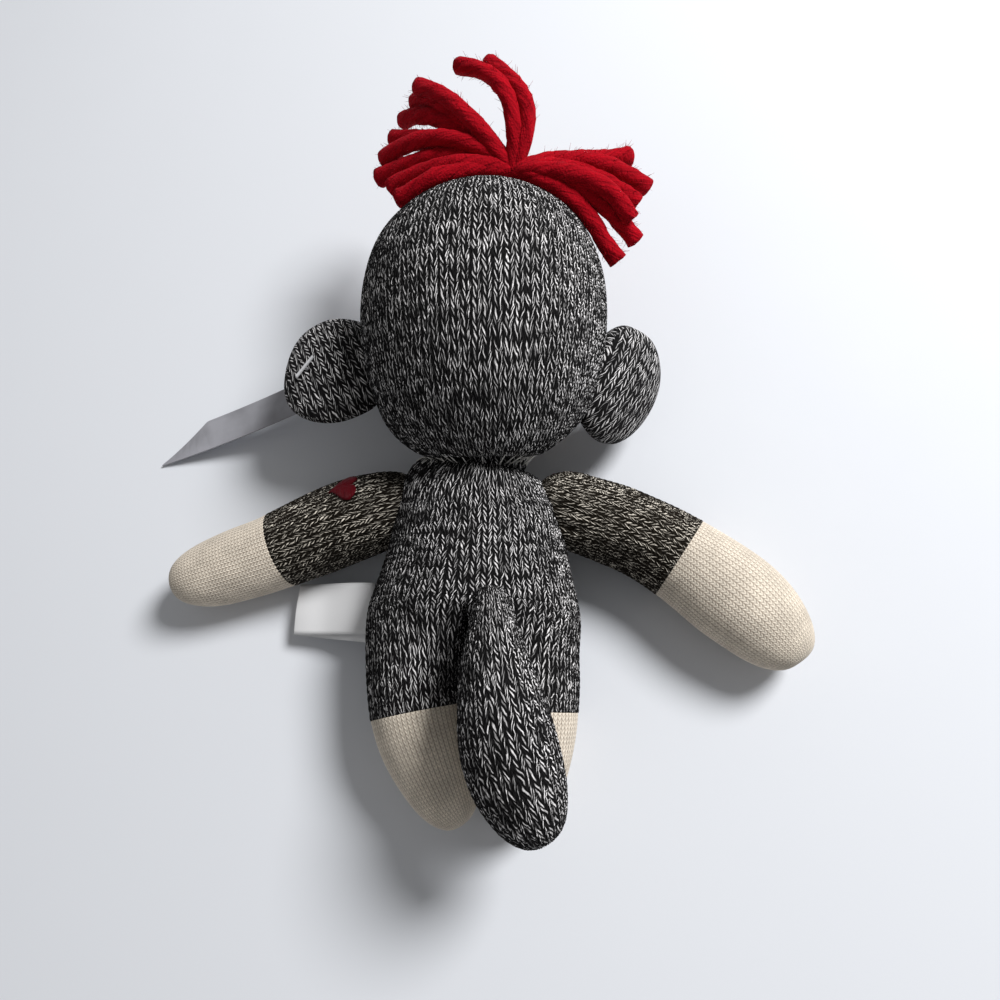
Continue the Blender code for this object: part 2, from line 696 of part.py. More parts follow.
def tube(name, points, frame, material, resolution=1):
    """A round thread through points, each with its radius."""
    data = bpy.data.curves.new(name, "CURVE")
    data.dimensions = "3D"
    data.bevel_depth = 1
    data.bevel_resolution = resolution
    data.use_fill_caps = True
    run = data.splines.new("POLY")
    run.points.add(len(points) - 1)
    for point, (place, radius) in zip(run.points, points):
        point.co = (*place, 1)
        point.radius = radius
    thing = bpy.data.objects.new(name, data)
    doll.objects.link(thing)
    mesh = bpy.data.meshes.new_from_object(
        thing.evaluated_get(bpy.context.evaluated_depsgraph_get()))
    bpy.data.objects.remove(thing)
    bm = bmesh.new()
    bm.from_mesh(mesh)
    bmesh.ops.remove_doubles(bm, verts=bm.verts, dist=GAP / 10)
    mesh = mesh_from(bm, name)
    if material is None:
        return cutter(name, mesh, frame)
    return piece(name, mesh, frame, material)


def make_hair(frame, head_space):
    """The tuft of yarn: strands that run out of one knot on the crown."""
    root = Vector((HAIR_ALONG, HAIR_ASIDE, HAIR_ABOVE))
    knot = ball_mesh(
        "yarn_hair", (YARN_KNOT_RADIUS,) * 3, YARN_KNOT_SEGMENTS, YARN_KNOT_RINGS, root)
    hair = piece("yarn_hair", knot, frame, "red_yarn")
    turn = Matrix.Rotation(math.radians(-HEAD_HEADING), 3, "Z")
    strands = bpy.data.collections.new("strands")
    cutters.children.link(strands)
    for n, shares in enumerate(YARN_SHARES):
        end, bend = (turn @ Vector(s) * YARN_LENGTH for s in (shares[:3], shares[3:]))
        points = []
        for i in range(YARN_POINTS):
            t = i / (YARN_POINTS - 1)
            points.append((root + end * t + bend * 4 * t * (1 - t), YARN_RADIUS))
        strand = tube(f"strand_{n + 1:02d}", points, frame, None)
        cutters.objects.unlink(strand)
        strands.objects.link(strand)
    join = hair.modifiers.new("Strands", "BOOLEAN")
    join.operation = "UNION"
    join.operand_type = "COLLECTION"
    join.collection = strands
    join.solver = "EXACT"
    boolean(hair, head_space)


def make_head(neck_seat, ear_seats):
    """The head's cover and stuffing, and everything that is sewn to its front and top."""
    frame = joint_frame("head_joint", NECK_PLACE, HEAD_HEADING)
    rows = list(share_rows(HEAD_SHARES, HEAD_LENGTH, HEAD_WIDTH, HEAD_DEPTH))
    matrices = ring_matrices(rows, SIDES)
    shell = cover("head_cover", frame, matrices, SIDES, "marled")
    fill = stuffing("head_stuffing", frame, rows, SIDES)
    longer = [slid(matrices[0], -NECK_RADIUS / 2), *matrices]
    space = cutter("head_space", cage_mesh("head_space", longer, SIDES, True, True), frame)
    subdivide(space)
    shrink(space, -GAP)
    for thing in (shell, fill):
        for seat in (neck_seat, *ear_seats):
            boolean(thing, seat)
    make_eye("left", 1, frame, shell, fill)
    make_eye("right", -1, frame, shell, fill)
    make_muzzle(frame, space)
    make_hair(frame, space)


# Ears

def make_ear(side, place_shares, heading, pitch):
    """One ear and the seat that it folds in."""
    frame = joint_frame(f"{side}_ear_joint", on_head(place_shares), heading, pitch)
    rows = [*root_rows(EAR_DEPTH / 2, EAR_ROOT_WIDTH / 2, EAR_DEPTH / 2),
            *share_rows(EAR_SHARES, EAR_LENGTH, EAR_WIDTH, EAR_DEPTH)]
    shell = cover(f"{side}_ear_cover", frame, ring_matrices(rows, SIDES), SIDES, "marled")
    fill = stuffing(f"{side}_ear_stuffing", frame, rows, SIDES)
    seat = ball_mesh(f"{side}_ear_seat", (
        seat_radius(EAR_DEPTH / 2), seat_radius(EAR_ROOT_WIDTH / 2), seat_radius(EAR_DEPTH / 2)))
    return frame, shell, fill, cutter(f"{side}_ear_seat", seat, frame)


def make_tag(ear_frame, shell, fill):
    """The fastener through the left ear, and the swing tag that hangs on it."""
    top = EAR_DEPTH / 2 + EAR_DEPTH * FASTENER_REST_SHARE + GAP + FASTENER_RADIUS
    low = -top - TAG_DROP
    across = math.radians(FASTENER_BAR_TURN - LEFT_EAR_HEADING)
    half_bar = Vector((math.cos(across), math.sin(across), 0)) * FASTENER_BAR_LENGTH / 2
    upper = Vector((FASTENER_ALONG, FASTENER_ASIDE, top))
    lower = Vector((FASTENER_ALONG, FASTENER_ASIDE + FASTENER_LEAN, low))
    bar = rod_mesh("tag_fastener", FASTENER_RADIUS, upper - half_bar, upper + half_bar,
                   FASTENER_SIDES)
    fastener = piece("tag_fastener", bar, ear_frame, "clear_plastic")
    stem = rod_mesh("stem", FASTENER_RADIUS, upper, lower, FASTENER_SIDES)
    boolean(fastener, cutter("stem", stem, ear_frame), "UNION")
    paddle_half = half_bar / 2
    paddle = rod_mesh("paddle", FASTENER_RADIUS, lower - paddle_half, lower + paddle_half,
                      FASTENER_SIDES)
    boolean(fastener, cutter("paddle", paddle, ear_frame), "UNION")
    hole = rod_mesh("stem_hole", FASTENER_RADIUS + GAP, upper, lower, FASTENER_SIDES)
    tool = cutter("stem_hole", hole, ear_frame)
    boolean(shell, tool)
    boolean(fill, tool)

    place = ear_frame.matrix_basis @ (lower + UP * TAG_DROP / 2)
    frame = joint_frame("tag_joint", place, TAG_HEADING, TAG_PITCH)
    start, end, half = -TAG_HOLE_INSET, TAG_LENGTH - TAG_HOLE_INSET, TAG_WIDTH / 2
    outline = ((start, -half), (end - TAG_SLANT, -half), (end, half), (start, half))
    bm = bmesh.new()
    face = bm.faces.new([bm.verts.new((x, y, -TAG_THICKNESS / 2)) for x, y in outline])
    made = bmesh.ops.extrude_face_region(bm, geom=[face])["geom"]
    verts = [g for g in made if isinstance(g, bmesh.types.BMVert)]
    bmesh.ops.translate(bm, vec=(0, 0, TAG_THICKNESS), verts=verts)
    tag = piece("hang_tag", mesh_from(bm, "hang_tag"), frame, "card")
    bore = rod_mesh("tag_hole", TAG_HOLE_RADIUS, (0, 0, -TAG_HOLE_RADIUS * 2),
                    (0, 0, TAG_HOLE_RADIUS * 2))
    boolean(tag, cutter("tag_hole", bore, frame))


# Trim

def make_heart(frame, arm):
    """A heart-shaped patch, cut out of a layer on the arm's cover."""
    turn = math.radians(HEART_TURN - LEFT_ARM_HEADING)
    bm = bmesh.new()
    verts = []
    for i in range(HEART_POINTS):
        t = 2 * math.pi * i / HEART_POINTS
        x = HEART_SWEEP * math.sin(t) ** 3 / HEART_SPAN
        y = sum(w * math.cos((k + 1) * t) for k, w in enumerate(HEART_WAVES)) / HEART_SPAN
        verts.append(bm.verts.new((-y * HEART_SIZE, x * HEART_SIZE, 0)))
    made = bmesh.ops.extrude_face_region(bm, geom=[bm.faces.new(verts)])["geom"]
    top = [g for g in made if isinstance(g, bmesh.types.BMVert)]
    bmesh.ops.translate(bm, vec=(0, 0, ARM_DEPTH), verts=top)
    out = Matrix.Rotation(math.radians(HEART_ROUND), 4, "X") @ Matrix.Rotation(turn, 4, "Z")
    bmesh.ops.transform(bm, matrix=Matrix.Translation((HEART_ALONG, 0, 0)) @ out, verts=bm.verts)
    patch = piece("heart_patch", mesh_from(bm, "heart_patch"), frame, "red_felt")
    for name, grow, operation in (("layer", GAP + HEART_THICKNESS, "INTERSECT"),
                                  ("arm_space", GAP, "DIFFERENCE")):
        tool = cutter(name, arm.copy(), frame)
        subdivide(tool)
        shrink(tool, -grow)
        boolean(patch, tool, operation)


def make_label():
    """The care label: a ribbon folded once, its ends in the seam."""
    frame = joint_frame(
        "label_joint", on_body(LABEL_PLACE_SHARES), LABEL_HEADING, LABEL_PITCH)
    line = [Vector((0, 0, LABEL_FOLD_RADIUS))]
    for i in range(LABEL_FOLD_STEPS):
        a = math.pi / 2 - math.pi * i / (LABEL_FOLD_STEPS - 1)
        line.append(Vector((LABEL_LENGTH - LABEL_FOLD_RADIUS, 0, 0))
                    + Vector((math.cos(a), 0, math.sin(a))) * LABEL_FOLD_RADIUS)
    line.append(Vector((0, 0, -LABEL_FOLD_RADIUS)))
    bm = bmesh.new()
    verts = [bm.verts.new(p + Vector((0, -LABEL_WIDTH / 2, 0))) for p in line]
    edges = [bm.edges.new(pair) for pair in zip(verts, verts[1:])]
    made = bmesh.ops.extrude_edge_only(bm, edges=edges)["geom"]
    moved = [g for g in made if isinstance(g, bmesh.types.BMVert)]
    bmesh.ops.translate(bm, vec=(0, LABEL_WIDTH, 0), verts=moved)
    under = [v for v in bm.verts if v.co.z < 0 and v.co.x < LABEL_LENGTH / 2]
    bmesh.ops.translate(bm, vec=(0, LABEL_SKEW, 0), verts=under)
    label = piece("care_label", mesh_from(bm, "care_label"), frame, "satin")
    wall = label.modifiers.new("Ribbon", "SOLIDIFY")
    wall.thickness = LABEL_THICKNESS
    wall.offset = 0


# Assembly

neck_seat = make_neck()
left_arm_seats = make_arm(
    "left", LEFT_ARM_PLACE_SHARES, LEFT_ARM_HEADING, LEFT_ARM_LENGTH, LEFT_ARM_SHARES,
    LEFT_CUFF_ROW)
right_arm_seats = make_arm(
    "right", RIGHT_ARM_PLACE_SHARES, RIGHT_ARM_HEADING, RIGHT_ARM_LENGTH, RIGHT_ARM_SHARES,
    RIGHT_CUFF_ROW)
make_leg("left", -1, LEFT_LEG_SHARES)
make_leg("right", 1, RIGHT_LEG_SHARES)
tail_seat = make_tail()
make_body([neck_seat, *left_arm_seats, *right_arm_seats, tail_seat, *lap_cutters()])
left_ear, left_ear_cover, left_ear_fill, left_ear_seat = make_ear(
    "left", LEFT_EAR_PLACE_SHARES, LEFT_EAR_HEADING, LEFT_EAR_PITCH)
_, _, _, right_ear_seat = make_ear(
    "right", RIGHT_EAR_PLACE_SHARES, RIGHT_EAR_HEADING, RIGHT_EAR_PITCH)
make_head(neck_seat, (left_ear_seat, right_ear_seat))
make_tag(left_ear, left_ear_cover, left_ear_fill)
make_label()
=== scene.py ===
"""The look of a small knitted sock monkey doll that lies face down."""

import math

import bmesh
import bpy
import numpy as np
from mathutils import Matrix, Vector, noise
from mathutils.bvhtree import BVHTree


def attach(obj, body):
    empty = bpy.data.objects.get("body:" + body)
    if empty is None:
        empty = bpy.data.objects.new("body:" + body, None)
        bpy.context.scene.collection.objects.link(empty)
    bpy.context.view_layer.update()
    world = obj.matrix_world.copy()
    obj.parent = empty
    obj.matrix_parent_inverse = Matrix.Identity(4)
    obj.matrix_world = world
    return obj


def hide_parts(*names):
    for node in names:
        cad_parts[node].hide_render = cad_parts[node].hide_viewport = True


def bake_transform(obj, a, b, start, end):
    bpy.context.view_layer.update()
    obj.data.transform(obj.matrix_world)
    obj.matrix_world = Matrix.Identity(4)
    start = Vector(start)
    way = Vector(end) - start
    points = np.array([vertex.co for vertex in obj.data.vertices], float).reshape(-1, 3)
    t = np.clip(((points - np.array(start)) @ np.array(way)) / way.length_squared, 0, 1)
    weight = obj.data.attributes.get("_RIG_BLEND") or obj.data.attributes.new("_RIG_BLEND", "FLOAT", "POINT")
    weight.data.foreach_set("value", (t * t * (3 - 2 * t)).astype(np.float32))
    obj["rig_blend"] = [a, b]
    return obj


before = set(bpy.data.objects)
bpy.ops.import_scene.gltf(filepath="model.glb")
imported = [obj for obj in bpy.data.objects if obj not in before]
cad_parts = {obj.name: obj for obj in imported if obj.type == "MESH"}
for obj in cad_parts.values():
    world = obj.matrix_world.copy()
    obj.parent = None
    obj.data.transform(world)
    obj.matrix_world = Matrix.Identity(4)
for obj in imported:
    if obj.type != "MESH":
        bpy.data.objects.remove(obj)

bl_info = {
    "name": "Sock monkey doll",
    "version": (1, 0),
    "blender": (4, 5, 0),
    "location": "3D View > Sidebar > Doll",
    "description": "Knits, sews and lays out a small sock monkey doll",
    "category": "Object",
}

UP = Vector((0, 0, 1))
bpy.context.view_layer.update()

# Forms of the doll, in metres: rows are along, aside, above, width and depth shares
NECK_PLACE = (0.0040, 0.0370, 0.0250)
TORSO_HEADING = -95.5
TORSO_SIZE = (0.0590, 0.0660, 0.0385)
TORSO_ROWS = (
    (0.004, 0.0, 0.0, 0.46, 0.72),
    (0.06, -0.01, 0.0, 0.62, 0.78),
    (0.16, -0.025, -0.03, 0.79, 0.86),
    (0.42, -0.012, -0.09, 0.81, 1.00),
    (0.72, 0.0, -0.105, 0.99, 1.02),
    (0.94, 0.0, -0.105, 0.98, 0.93),
    (1.15, 0.0, -0.12, 0.96, 0.84),
)
WAIST = 0.0405              # from the neck to where the two thighs begin
HEAD_HEADING = 89.0
HEAD_SIZE = (0.0900, 0.0750, 0.0640)
HEAD_ROWS = (
    (0.004, 0.0, 0.0, 0.39, 0.44),
    (0.05, 0.0, 0.0, 0.50, 0.55),
    (0.13, 0.0, 0.05, 0.80, 0.75),
    (0.33, 0.0, 0.15, 0.99, 0.97),
    (0.57, 0.0, 0.185, 1.03, 1.04),
    (0.785, 0.0, 0.19, 0.93, 0.95),
    (0.92, 0.0, 0.19, 0.58, 0.60),
    (0.955, 0.0, 0.19, 0.24, 0.26),
)
LIMB_ROOT_ANGLES = (60, 30, 0)
LEFT_ARM = {
    "place": (-0.026497, 0.028497, 0.019498), "heading": 194.0, "root": 0.0119,
    "size": (0.0770, 0.0245, 0.0235), "cuff": 0.51,
    "rows": (
        (0.25, -0.020, -0.055, 1.16, 1.06),
        (0.51, 0.015, -0.101, 1.00, 1.00),
        (0.78, 0.03, -0.106, 1.00, 1.00),
        (0.95, 0.035, -0.106, 0.70, 0.74),
        (1.00, 0.035, -0.106, 0.34, 0.36),
    ),
}
RIGHT_ARM = {
    "place": (0.028103, 0.026197, 0.019202), "heading": -22.0, "root": 0.0119,
    "size": (0.0788, 0.0245, 0.0235), "cuff": 0.47,
    "rows": (
        (0.24, 0.03, -0.055, 1.02, 1.00),
        (0.47, 0.0, -0.090, 1.07, 1.02),
        (0.75, -0.09, -0.085, 1.27, 1.12),
        (0.94, -0.19, -0.090, 0.88, 0.84),
        (1.00, -0.23, -0.090, 0.42, 0.42),
    ),
}
LEG_SIZE = (0.0440, 0.0304, 0.0310)
LEG_CUFF = 0.31
THIGH_TOP = -0.0170         # where a thigh begins, along the leg from its hip
LEFT_LEG = {
    "place": (-0.0172, -0.020003, 0.016199),
    "rows": (
        (0.31, 0.01, -0.01, 0.96, 0.94),
        (0.60, 0.11, -0.045, 0.87, 0.84),
        (0.88, 0.23, -0.10, 0.64, 0.60),
        (1.00, 0.31, -0.14, 0.30, 0.28),
    ),
}
RIGHT_LEG = {
    "place": (0.015602, -0.020003, 0.016199),
    "rows": (
        (0.31, 0.0, -0.01, 0.97, 0.94),
        (0.60, -0.02, -0.045, 0.88, 0.84),
        (0.88, -0.06, -0.10, 0.66, 0.60),
        (1.00, -0.09, -0.14, 0.32, 0.28),
    ),
}
TAIL = {
    "place": (0.007999, -0.006998, 0.042002), "heading": -80.0, "root": 0.0050,
    "size": (0.0600, 0.0245, 0.0235),
    "rows": (
        (0.20, -0.02, 0.04, 0.64, 0.62),
        (0.50, -0.04, 0.05, 0.99, 0.97),
        (0.78, -0.02, 0.0, 1.03, 0.98),
        (0.95, 0.02, -0.085, 0.70, 0.68),
        (1.00, 0.035, -0.115, 0.34, 0.34),
    ),
}
EAR_SIZE = (0.0250, 0.0390, 0.0135)
EARS = {
    "left": {
        "place": (-0.036202, 0.074202, 0.029998), "heading": 191.0, "pitch": 0.0,
        "root": 0.0170, "grain": 104.0,
        "rows": (
            (0.40, -0.02, 0.03, 1.02, 1.06),
            (0.86, -0.09, -0.03, 0.80, 0.84),
            (1.00, -0.13, -0.08, 0.38, 0.42),
        ),
    },
    "right": {
        "place": (0.0412, 0.0680, 0.0325), "heading": -33.0, "pitch": -52.0,
        "root": 0.0165, "grain": -85.0,
        "rows": (
            (0.40, 0.0, 0.03, 1.04, 1.04),
            (0.86, 0.02, -0.03, 0.80, 0.84),
            (1.00, 0.02, -0.08, 0.38, 0.42),
        ),
    },
}
NECK_TOP = 0.0375           # height of the neck's top, where its seam starts
NECK_TILT = 0.36            # how far the seam runs towards the head for its depth
NECK_REACH = 0.012
SEAM = Vector((NECK_PLACE[0], NECK_PLACE[1], NECK_TOP))
SEAM_OUT = Vector((0.0, 1.0, NECK_TILT)).normalized()
MUZZLE_SIZE = (0.0300, 0.0420, 0.0260)
MUZZLE_ALONG = 0.0290
FLOOR_PRESS = 0.0005
YARN_LENGTH = 0.0480
YARN_ROOT = (0.0865, -0.0100, 0.0320)
YARN_ROWS = (
    (-0.68, 0.76, -0.10, -0.04, 0.05, 0.14),
    (-0.77, 0.66, -0.15, -0.02, 0.03, 0.16),
    (-0.84, 0.50, -0.15, -0.02, 0.04, 0.10),
    (-0.89, 0.33, -0.15, -0.02, 0.06, 0.16),
    (-0.93, 0.21, -0.19, -0.02, 0.06, 0.10),
    (-0.82, 0.04, -0.10, 0.00, 0.00, 0.12),
    (-0.74, -0.12, -0.04, 0.00, -0.02, 0.08),
    (-0.62, 0.70, 0.08, 0.02, 0.00, 0.14),
    (-0.33, 0.72, 0.19, 0.17, 0.02, 0.16),
    (-0.13, 0.71, 0.19, 0.16, 0.02, 0.14),
    (0.76, 0.19, -0.15, 0.00, -0.01, 0.07),
    (0.86, -0.01, -0.22, 0.00, 0.02, 0.10),
    (0.79, -0.15, -0.20, 0.01, 0.04, 0.10),
    (0.73, -0.33, -0.12, 0.03, 0.03, 0.13),
    (0.77, -0.38, -0.27, 0.03, 0.03, 0.12),
    (0.65, -0.53, -0.27, 0.03, 0.02, 0.10),
)
ARMS = {"left": LEFT_ARM, "right": RIGHT_ARM}
LEGS = {"left": LEFT_LEG, "right": RIGHT_LEG}

# Settings of the making
STITCH_ROWS = 4             # rows of faces to a course of stitches
FINE_LEAN = 0.75            # rows that a fine stitch climbs
THIGH_OUTER, THIGH_INNER = 28, 7            # wales outside and inside a thigh
THIGH_INNER_ANGLE = math.radians(34)
THIGH_REACH = 0.064         # from the neck to where a thigh leaves the torso's form
STITCH_COUNT, STITCH_STEPS = 64, 6          # whip stitches, and the parts of each
STITCH_REACH = 0.008        # how far outside the skin a stitch looks for it
NECK_BAND = ((-0.0060, 0.0076, 0.0074), (-0.0040, 0.0122, 0.0120), (0.0, 0.0133, 0.0131),
             (0.0040, 0.0122, 0.0120), (0.0060, 0.0076, 0.0074))
YARN_PLIES, YARN_STEPS, YARN_FIBRES = 4, 30, 90
PLY_LENGTH = 0.0085         # length of a strand in which its plies shift by one
FELT_SHIFTS = (Vector((0, 0, 0)), Vector((17, 3, 5)), Vector((4, 29, 11)))
HEART_SIZE, HEART_ALONG = 0.0106, 0.0120
HEART_ROUND, HEART_TURN = 45.0, 190.0       # round the arm, and on its skin
HEART_RINGS = 7
LABEL_PLACE = ((-0.033499, -0.001799, 0.010801), 177.0, -12.0)
LABEL_LENGTH, LABEL_WIDTH, LABEL_GAP, LABEL_SKEW = 0.0270, 0.0165, 0.0005, 0.0025
LABEL_STEPS, LABEL_COLUMNS = 18, 12
TAG_PLACE = ((-0.05278, 0.073017, 0.019568), 191.5, -15.8)
TAG_LENGTH, TAG_WIDTH, TAG_SLANT, TAG_THICKNESS = 0.0750, 0.0112, 0.0210, 0.0004
TAG_INSET, TAG_HOLE = 0.0045, 0.0014
CAMERA_PLACE = (0.03200, -0.04903, 0.24274)
CAMERA_TURN = (19.40246, 6.15696, 0.11355)
KEY_PLACE, KEY_SIZE = (0.70, 0.50, 0.86), 0.45
FILL_PLACE, FILL_SIZE = (-1.00, -0.60, 1.10), 1.2


# Settings

def length(name, description, default):
    return bpy.props.FloatProperty(
        name=name, description=description, default=default, subtype="DISTANCE", unit="LENGTH",
        precision=5)


def share(name, description, default):
    return bpy.props.FloatProperty(name=name, description=description, default=default)


def colour(name, description, default):
    return bpy.props.FloatVectorProperty(
        name=name, description=description, default=default, subtype="COLOR", size=4, min=0,
        max=1)


class DollKnit(bpy.types.PropertyGroup):
    wale: length("Wale", "Width of one column of stitches", 0.0031)
    course: length("Course", "Height of one row of stitches", 0.0020)
    relief: length("Relief", "How far a stitch stands out of the cover", 0.00045)
    fine_wale: length("Fine wale", "Width of a column of stitches on hands and feet", 0.00145)
    fine_course: length("Fine course", "Height of a row of stitches on hands and feet", 0.00115)
    fine_relief: length("Fine relief", "How far those stitches stand out", 0.00016)
    lean: share("Lean", "Rows that a stitch climbs from its middle to its side", 1.6)
    dark: colour("Dark ply", "Colour of the dark ply", (0.0075, 0.007, 0.0075, 1))
    light: colour("Light ply", "Colour of the light ply", (0.92, 0.90, 0.90, 1))
    arm_dark: colour("Arms' dark ply", "Colour of the arms' dark ply", (0.011, 0.008, 0.005, 1))
    arm_light: colour("Arms' light ply", "Colour of the arms' light ply", (0.80, 0.74, 0.64, 1))
    cream: colour("Cream", "Colour of hands, feet and muzzle", (0.76, 0.68, 0.57, 1))
    # Painted shade: the colour put into the hollows between fine stitches and between their wales
    cream_painted_shade: colour("Cream shade", "Colour between those stitches", (0.34, 0.27, 0.21, 1))


class DollTrim(bpy.types.PropertyGroup):
    yarn_radius: length("Yarn radius", "Half the thickness of a strand of hair", 0.0030)
    yarn: colour("Yarn", "Colour of the hair", (0.40, 0.0015, 0.0090, 1))
    # Painted shade in the grooves between the hair's plies, and the colour of its darker streaks
    yarn_streaks_and_shade: colour("Yarn shade", "Colour between the hair's plies", (0.10, 0.0, 0.0025, 1))
    felt: colour("Felt", "Colour of the heart", (0.085, 0.0006, 0.0045, 1))
    thread: colour("Thread", "Colour of the sewing thread", (0.80, 0.78, 0.74, 1))
    satin: colour("Satin", "Colour of the care label", (0.80, 0.80, 0.81, 1))
    card: colour("Card", "Colour of the swing tag", (0.34, 0.34, 0.37, 1))
    nylon: colour("Nylon", "Colour of the tag's fastener", (0.62, 0.62, 0.64, 1))
    button: colour("Button", "Colour of the eyes", (0.010, 0.010, 0.010, 1))
    fibre: colour("Fibre", "Colour of the stuffing", (0.80, 0.79, 0.77, 1))


class DollStage(bpy.types.PropertyGroup):
    floor: colour("Floor", "Colour of the floor", (0.72, 0.74, 0.78, 1))
    lens: share("Lens", "Focal length in millimetres", 27.36)
    key: share("Key light", "Power of the main light in watts", 18.0)
    fill: share("Fill light", "Power of the soft light in watts", 1.0)
    sky: share("Sky", "Strength of the light from all round", 0.22)


# Smooth lines and forms

def smooth_line(points, steps=24):
    """Points on the smooth line that a soft cage's rows settle to."""
    points = np.asarray(points, float)
    spots = np.linspace(0, 1, steps, endpoint=False)[:, None]
    weights = ((1 - spots) ** 3, 3 * spots ** 3 - 6 * spots ** 2 + 4,
               -3 * spots ** 3 + 3 * spots ** 2 + 3 * spots + 1, spots ** 3)
    runs = [sum(w * points[i + k] for k, w in enumerate(weights)) / 6
            for i in range(len(points) - 3)]
    runs.append((points[-3] + 4 * points[-2] + points[-1])[None] / 6)
    return np.concatenate(runs)


def closed_off(row):
    """What a row becomes where the form closes: its middle, and then its mirror image."""
    pole, mirrored = row.copy(), row.copy()
    pole[3:] = 0
    mirrored[3:] *= -1
    return pole, mirrored


def share_rows(rows, size):
    """Rows of middle and half sizes, from shares of a form's sizes."""
    length_, width, depth = size
    return [np.array((a * length_, b * length_, c * length_, w * width / 2, d * depth / 2))
            for a, b, c, w, d in rows]


def root_rows(half_length, half_width, half_depth):
    """Rows of a limb's rounded root, behind its joint and at it."""
    return [np.array((-half_length * math.sin(a), 0, 0, half_width * math.cos(a),
                      half_depth * math.cos(a)))
            for a in map(math.radians, LIMB_ROOT_ANGLES)]


def limb_frame(place, heading, pitch=0.0):
    """The frame of a limb whose length runs along X."""
    turn = Matrix.Rotation(math.radians(heading), 4, "Z") @ Matrix.Rotation(
        math.radians(-pitch), 4, "Y")
    return Matrix.Translation(place) @ turn


def laid(matrix, local):
    """Points of a limb's frame, where they lie in the doll's."""
    return local @ matrix[:3, :3].T + matrix[:3, 3]


class Form:
    """A stuffed form: rings about a bent line, from one pole or end to the other."""

    def __init__(self, matrix, rows, start="pole", end="pole"):
        self.matrix = np.array(matrix)
        rows = list(rows)
        first, last = rows[0], rows[-1]
        if start == "pole":
            pole, mirrored = closed_off(first)
            rows = [mirrored, pole, *rows]
        else:
            rows = [2 * first - rows[1], *rows]
        if end == "pole":
            rows += closed_off(last)
        else:
            rows.append(2 * last - rows[-2])
        line = smooth_line(rows)
        middle, half = line[:, :3], line[:, 3:]
        step = np.diff(line, axis=0)
        run = np.sqrt((step[:, :3] ** 2).sum(1) + (step[:, 3:].mean(1)) ** 2)
        self.spots = np.concatenate(([0], np.cumsum(run)))
        self.length = self.spots[-1]
        along = np.gradient(middle, axis=0)
        size = np.linalg.norm(along, axis=1)
        good = size > size.max() * 0.02
        for k in range(3):
            along[:, k] = np.interp(self.spots, self.spots[good], (along[:, k] / np.maximum(
                size, 1e-12))[good])
        along /= np.linalg.norm(along, axis=1)[:, None]
        side = np.cross((0, 0, 1), along)
        side /= np.linalg.norm(side, axis=1)[:, None]
        above = np.cross(along, side)
        self.line = np.hstack((middle, side * half[:, :1], above * half[:, 1:]))

    def ring(self, spot):
        """Middle, side and above arrows of the rings at these lengths along the skin."""
        found = np.stack([np.interp(spot, self.spots, column) for column in self.line.T], -1)
        return found[..., :3], found[..., 3:6], found[..., 6:]

    def place(self, turn, spot, gathers=()):
        """Points of the skin, where turn is the angle round a ring. Gathers are rows of:
        length along the skin, reach, number of pleats and their depth."""
        middle, side, above = self.ring(spot)
        swell = 0.0
        for where, reach, pleats, depth in gathers:
            near = np.clip(1 - np.abs(spot - where) / reach, 0, 1) ** 1.5
            wave = np.cos(turn * pleats + 1.7 * np.sin(turn * 3)) * 0.7 + 0.3 * np.cos(
                turn * (pleats * 2 - 3))
            swell = swell + near * depth * wave
        size = np.maximum(np.linalg.norm(side, axis=-1) + np.linalg.norm(above, axis=-1), 1e-6)
        grow = 1 + 2 * swell / size * np.clip(size / 0.01, 0, 1)
        ring = np.cos(turn)[..., None] * side + np.sin(turn)[..., None] * above
        return laid(self.matrix, middle + ring * grow[..., None])

    def spot_at(self, along):
        """The length along the skin where the middle line has come this far."""
        middle = self.line[:, 0]
        start = int(np.argmax(middle > middle[0] + 1e-7)) if middle[0] < along else 0
        return float(np.interp(along, middle[start:], self.spots[start:]))


def limb_form(limb):
    """The form of an arm or the tail, from its rounded root to its tip."""
    root = limb["root"]
    rows = [*root_rows(root, root, root), *share_rows(limb["rows"], limb["size"])]
    return Form(limb_frame(limb["place"], limb["heading"]), rows)


def leg_form(leg):
    half = (LEG_SIZE[1] / 2, LEG_SIZE[2] / 2)
    rows = [np.array((THIGH_TOP, 0, 0, *half)), np.array((0, 0, 0, *half)),
            *share_rows(leg["rows"], LEG_SIZE)]
    return Form(limb_frame(leg["place"], -90.0), rows, "open")


# Meshes

def new_piece(name, bm, material, body=None, nodes=(), smooth=True):
    """A finished piece from a bmesh, with the nodes that it stands for."""
    mesh = bpy.data.meshes.new(name)
    bm.to_mesh(mesh)
    bm.free()
    if smooth:
        mesh.shade_smooth()
    mesh.materials.append(material)
    piece = bpy.data.objects.new(name, mesh)
    bpy.context.scene.collection.objects.link(piece)
    if body:
        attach(piece, body)
    if nodes:
        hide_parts(*nodes)
    return piece


def dress(skin, slot, fill, body, *nodes):
    """Attaches a padded skin to what it rides on, if that is one body, and hides the nodes that it stands
    for. Its slot and fill are not used."""
    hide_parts(*nodes)
    if body:
        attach(skin, body)


def thicken(piece, thickness, offset=0):
    """Gives a sheet its thickness, to both sides or, at -1, to its back."""
    wall = piece.modifiers.new("Thickness", "SOLIDIFY")
    wall.thickness = thickness
    wall.offset = offset


def outwards(bm):
    bmesh.ops.recalc_face_normals(bm, faces=bm.faces)


def edges_of(verts):
    return list(dict.fromkeys(e for v in verts for e in v.link_edges))


def soft_noise(points, scale, seed):
    """Slow unevenness between -1 and 1 at each point."""
    shift = Vector((seed * 7.3, seed * 3.1, seed * 5.7))
    return np.array([noise.noise(Vector(p) / scale + shift) for p in points])


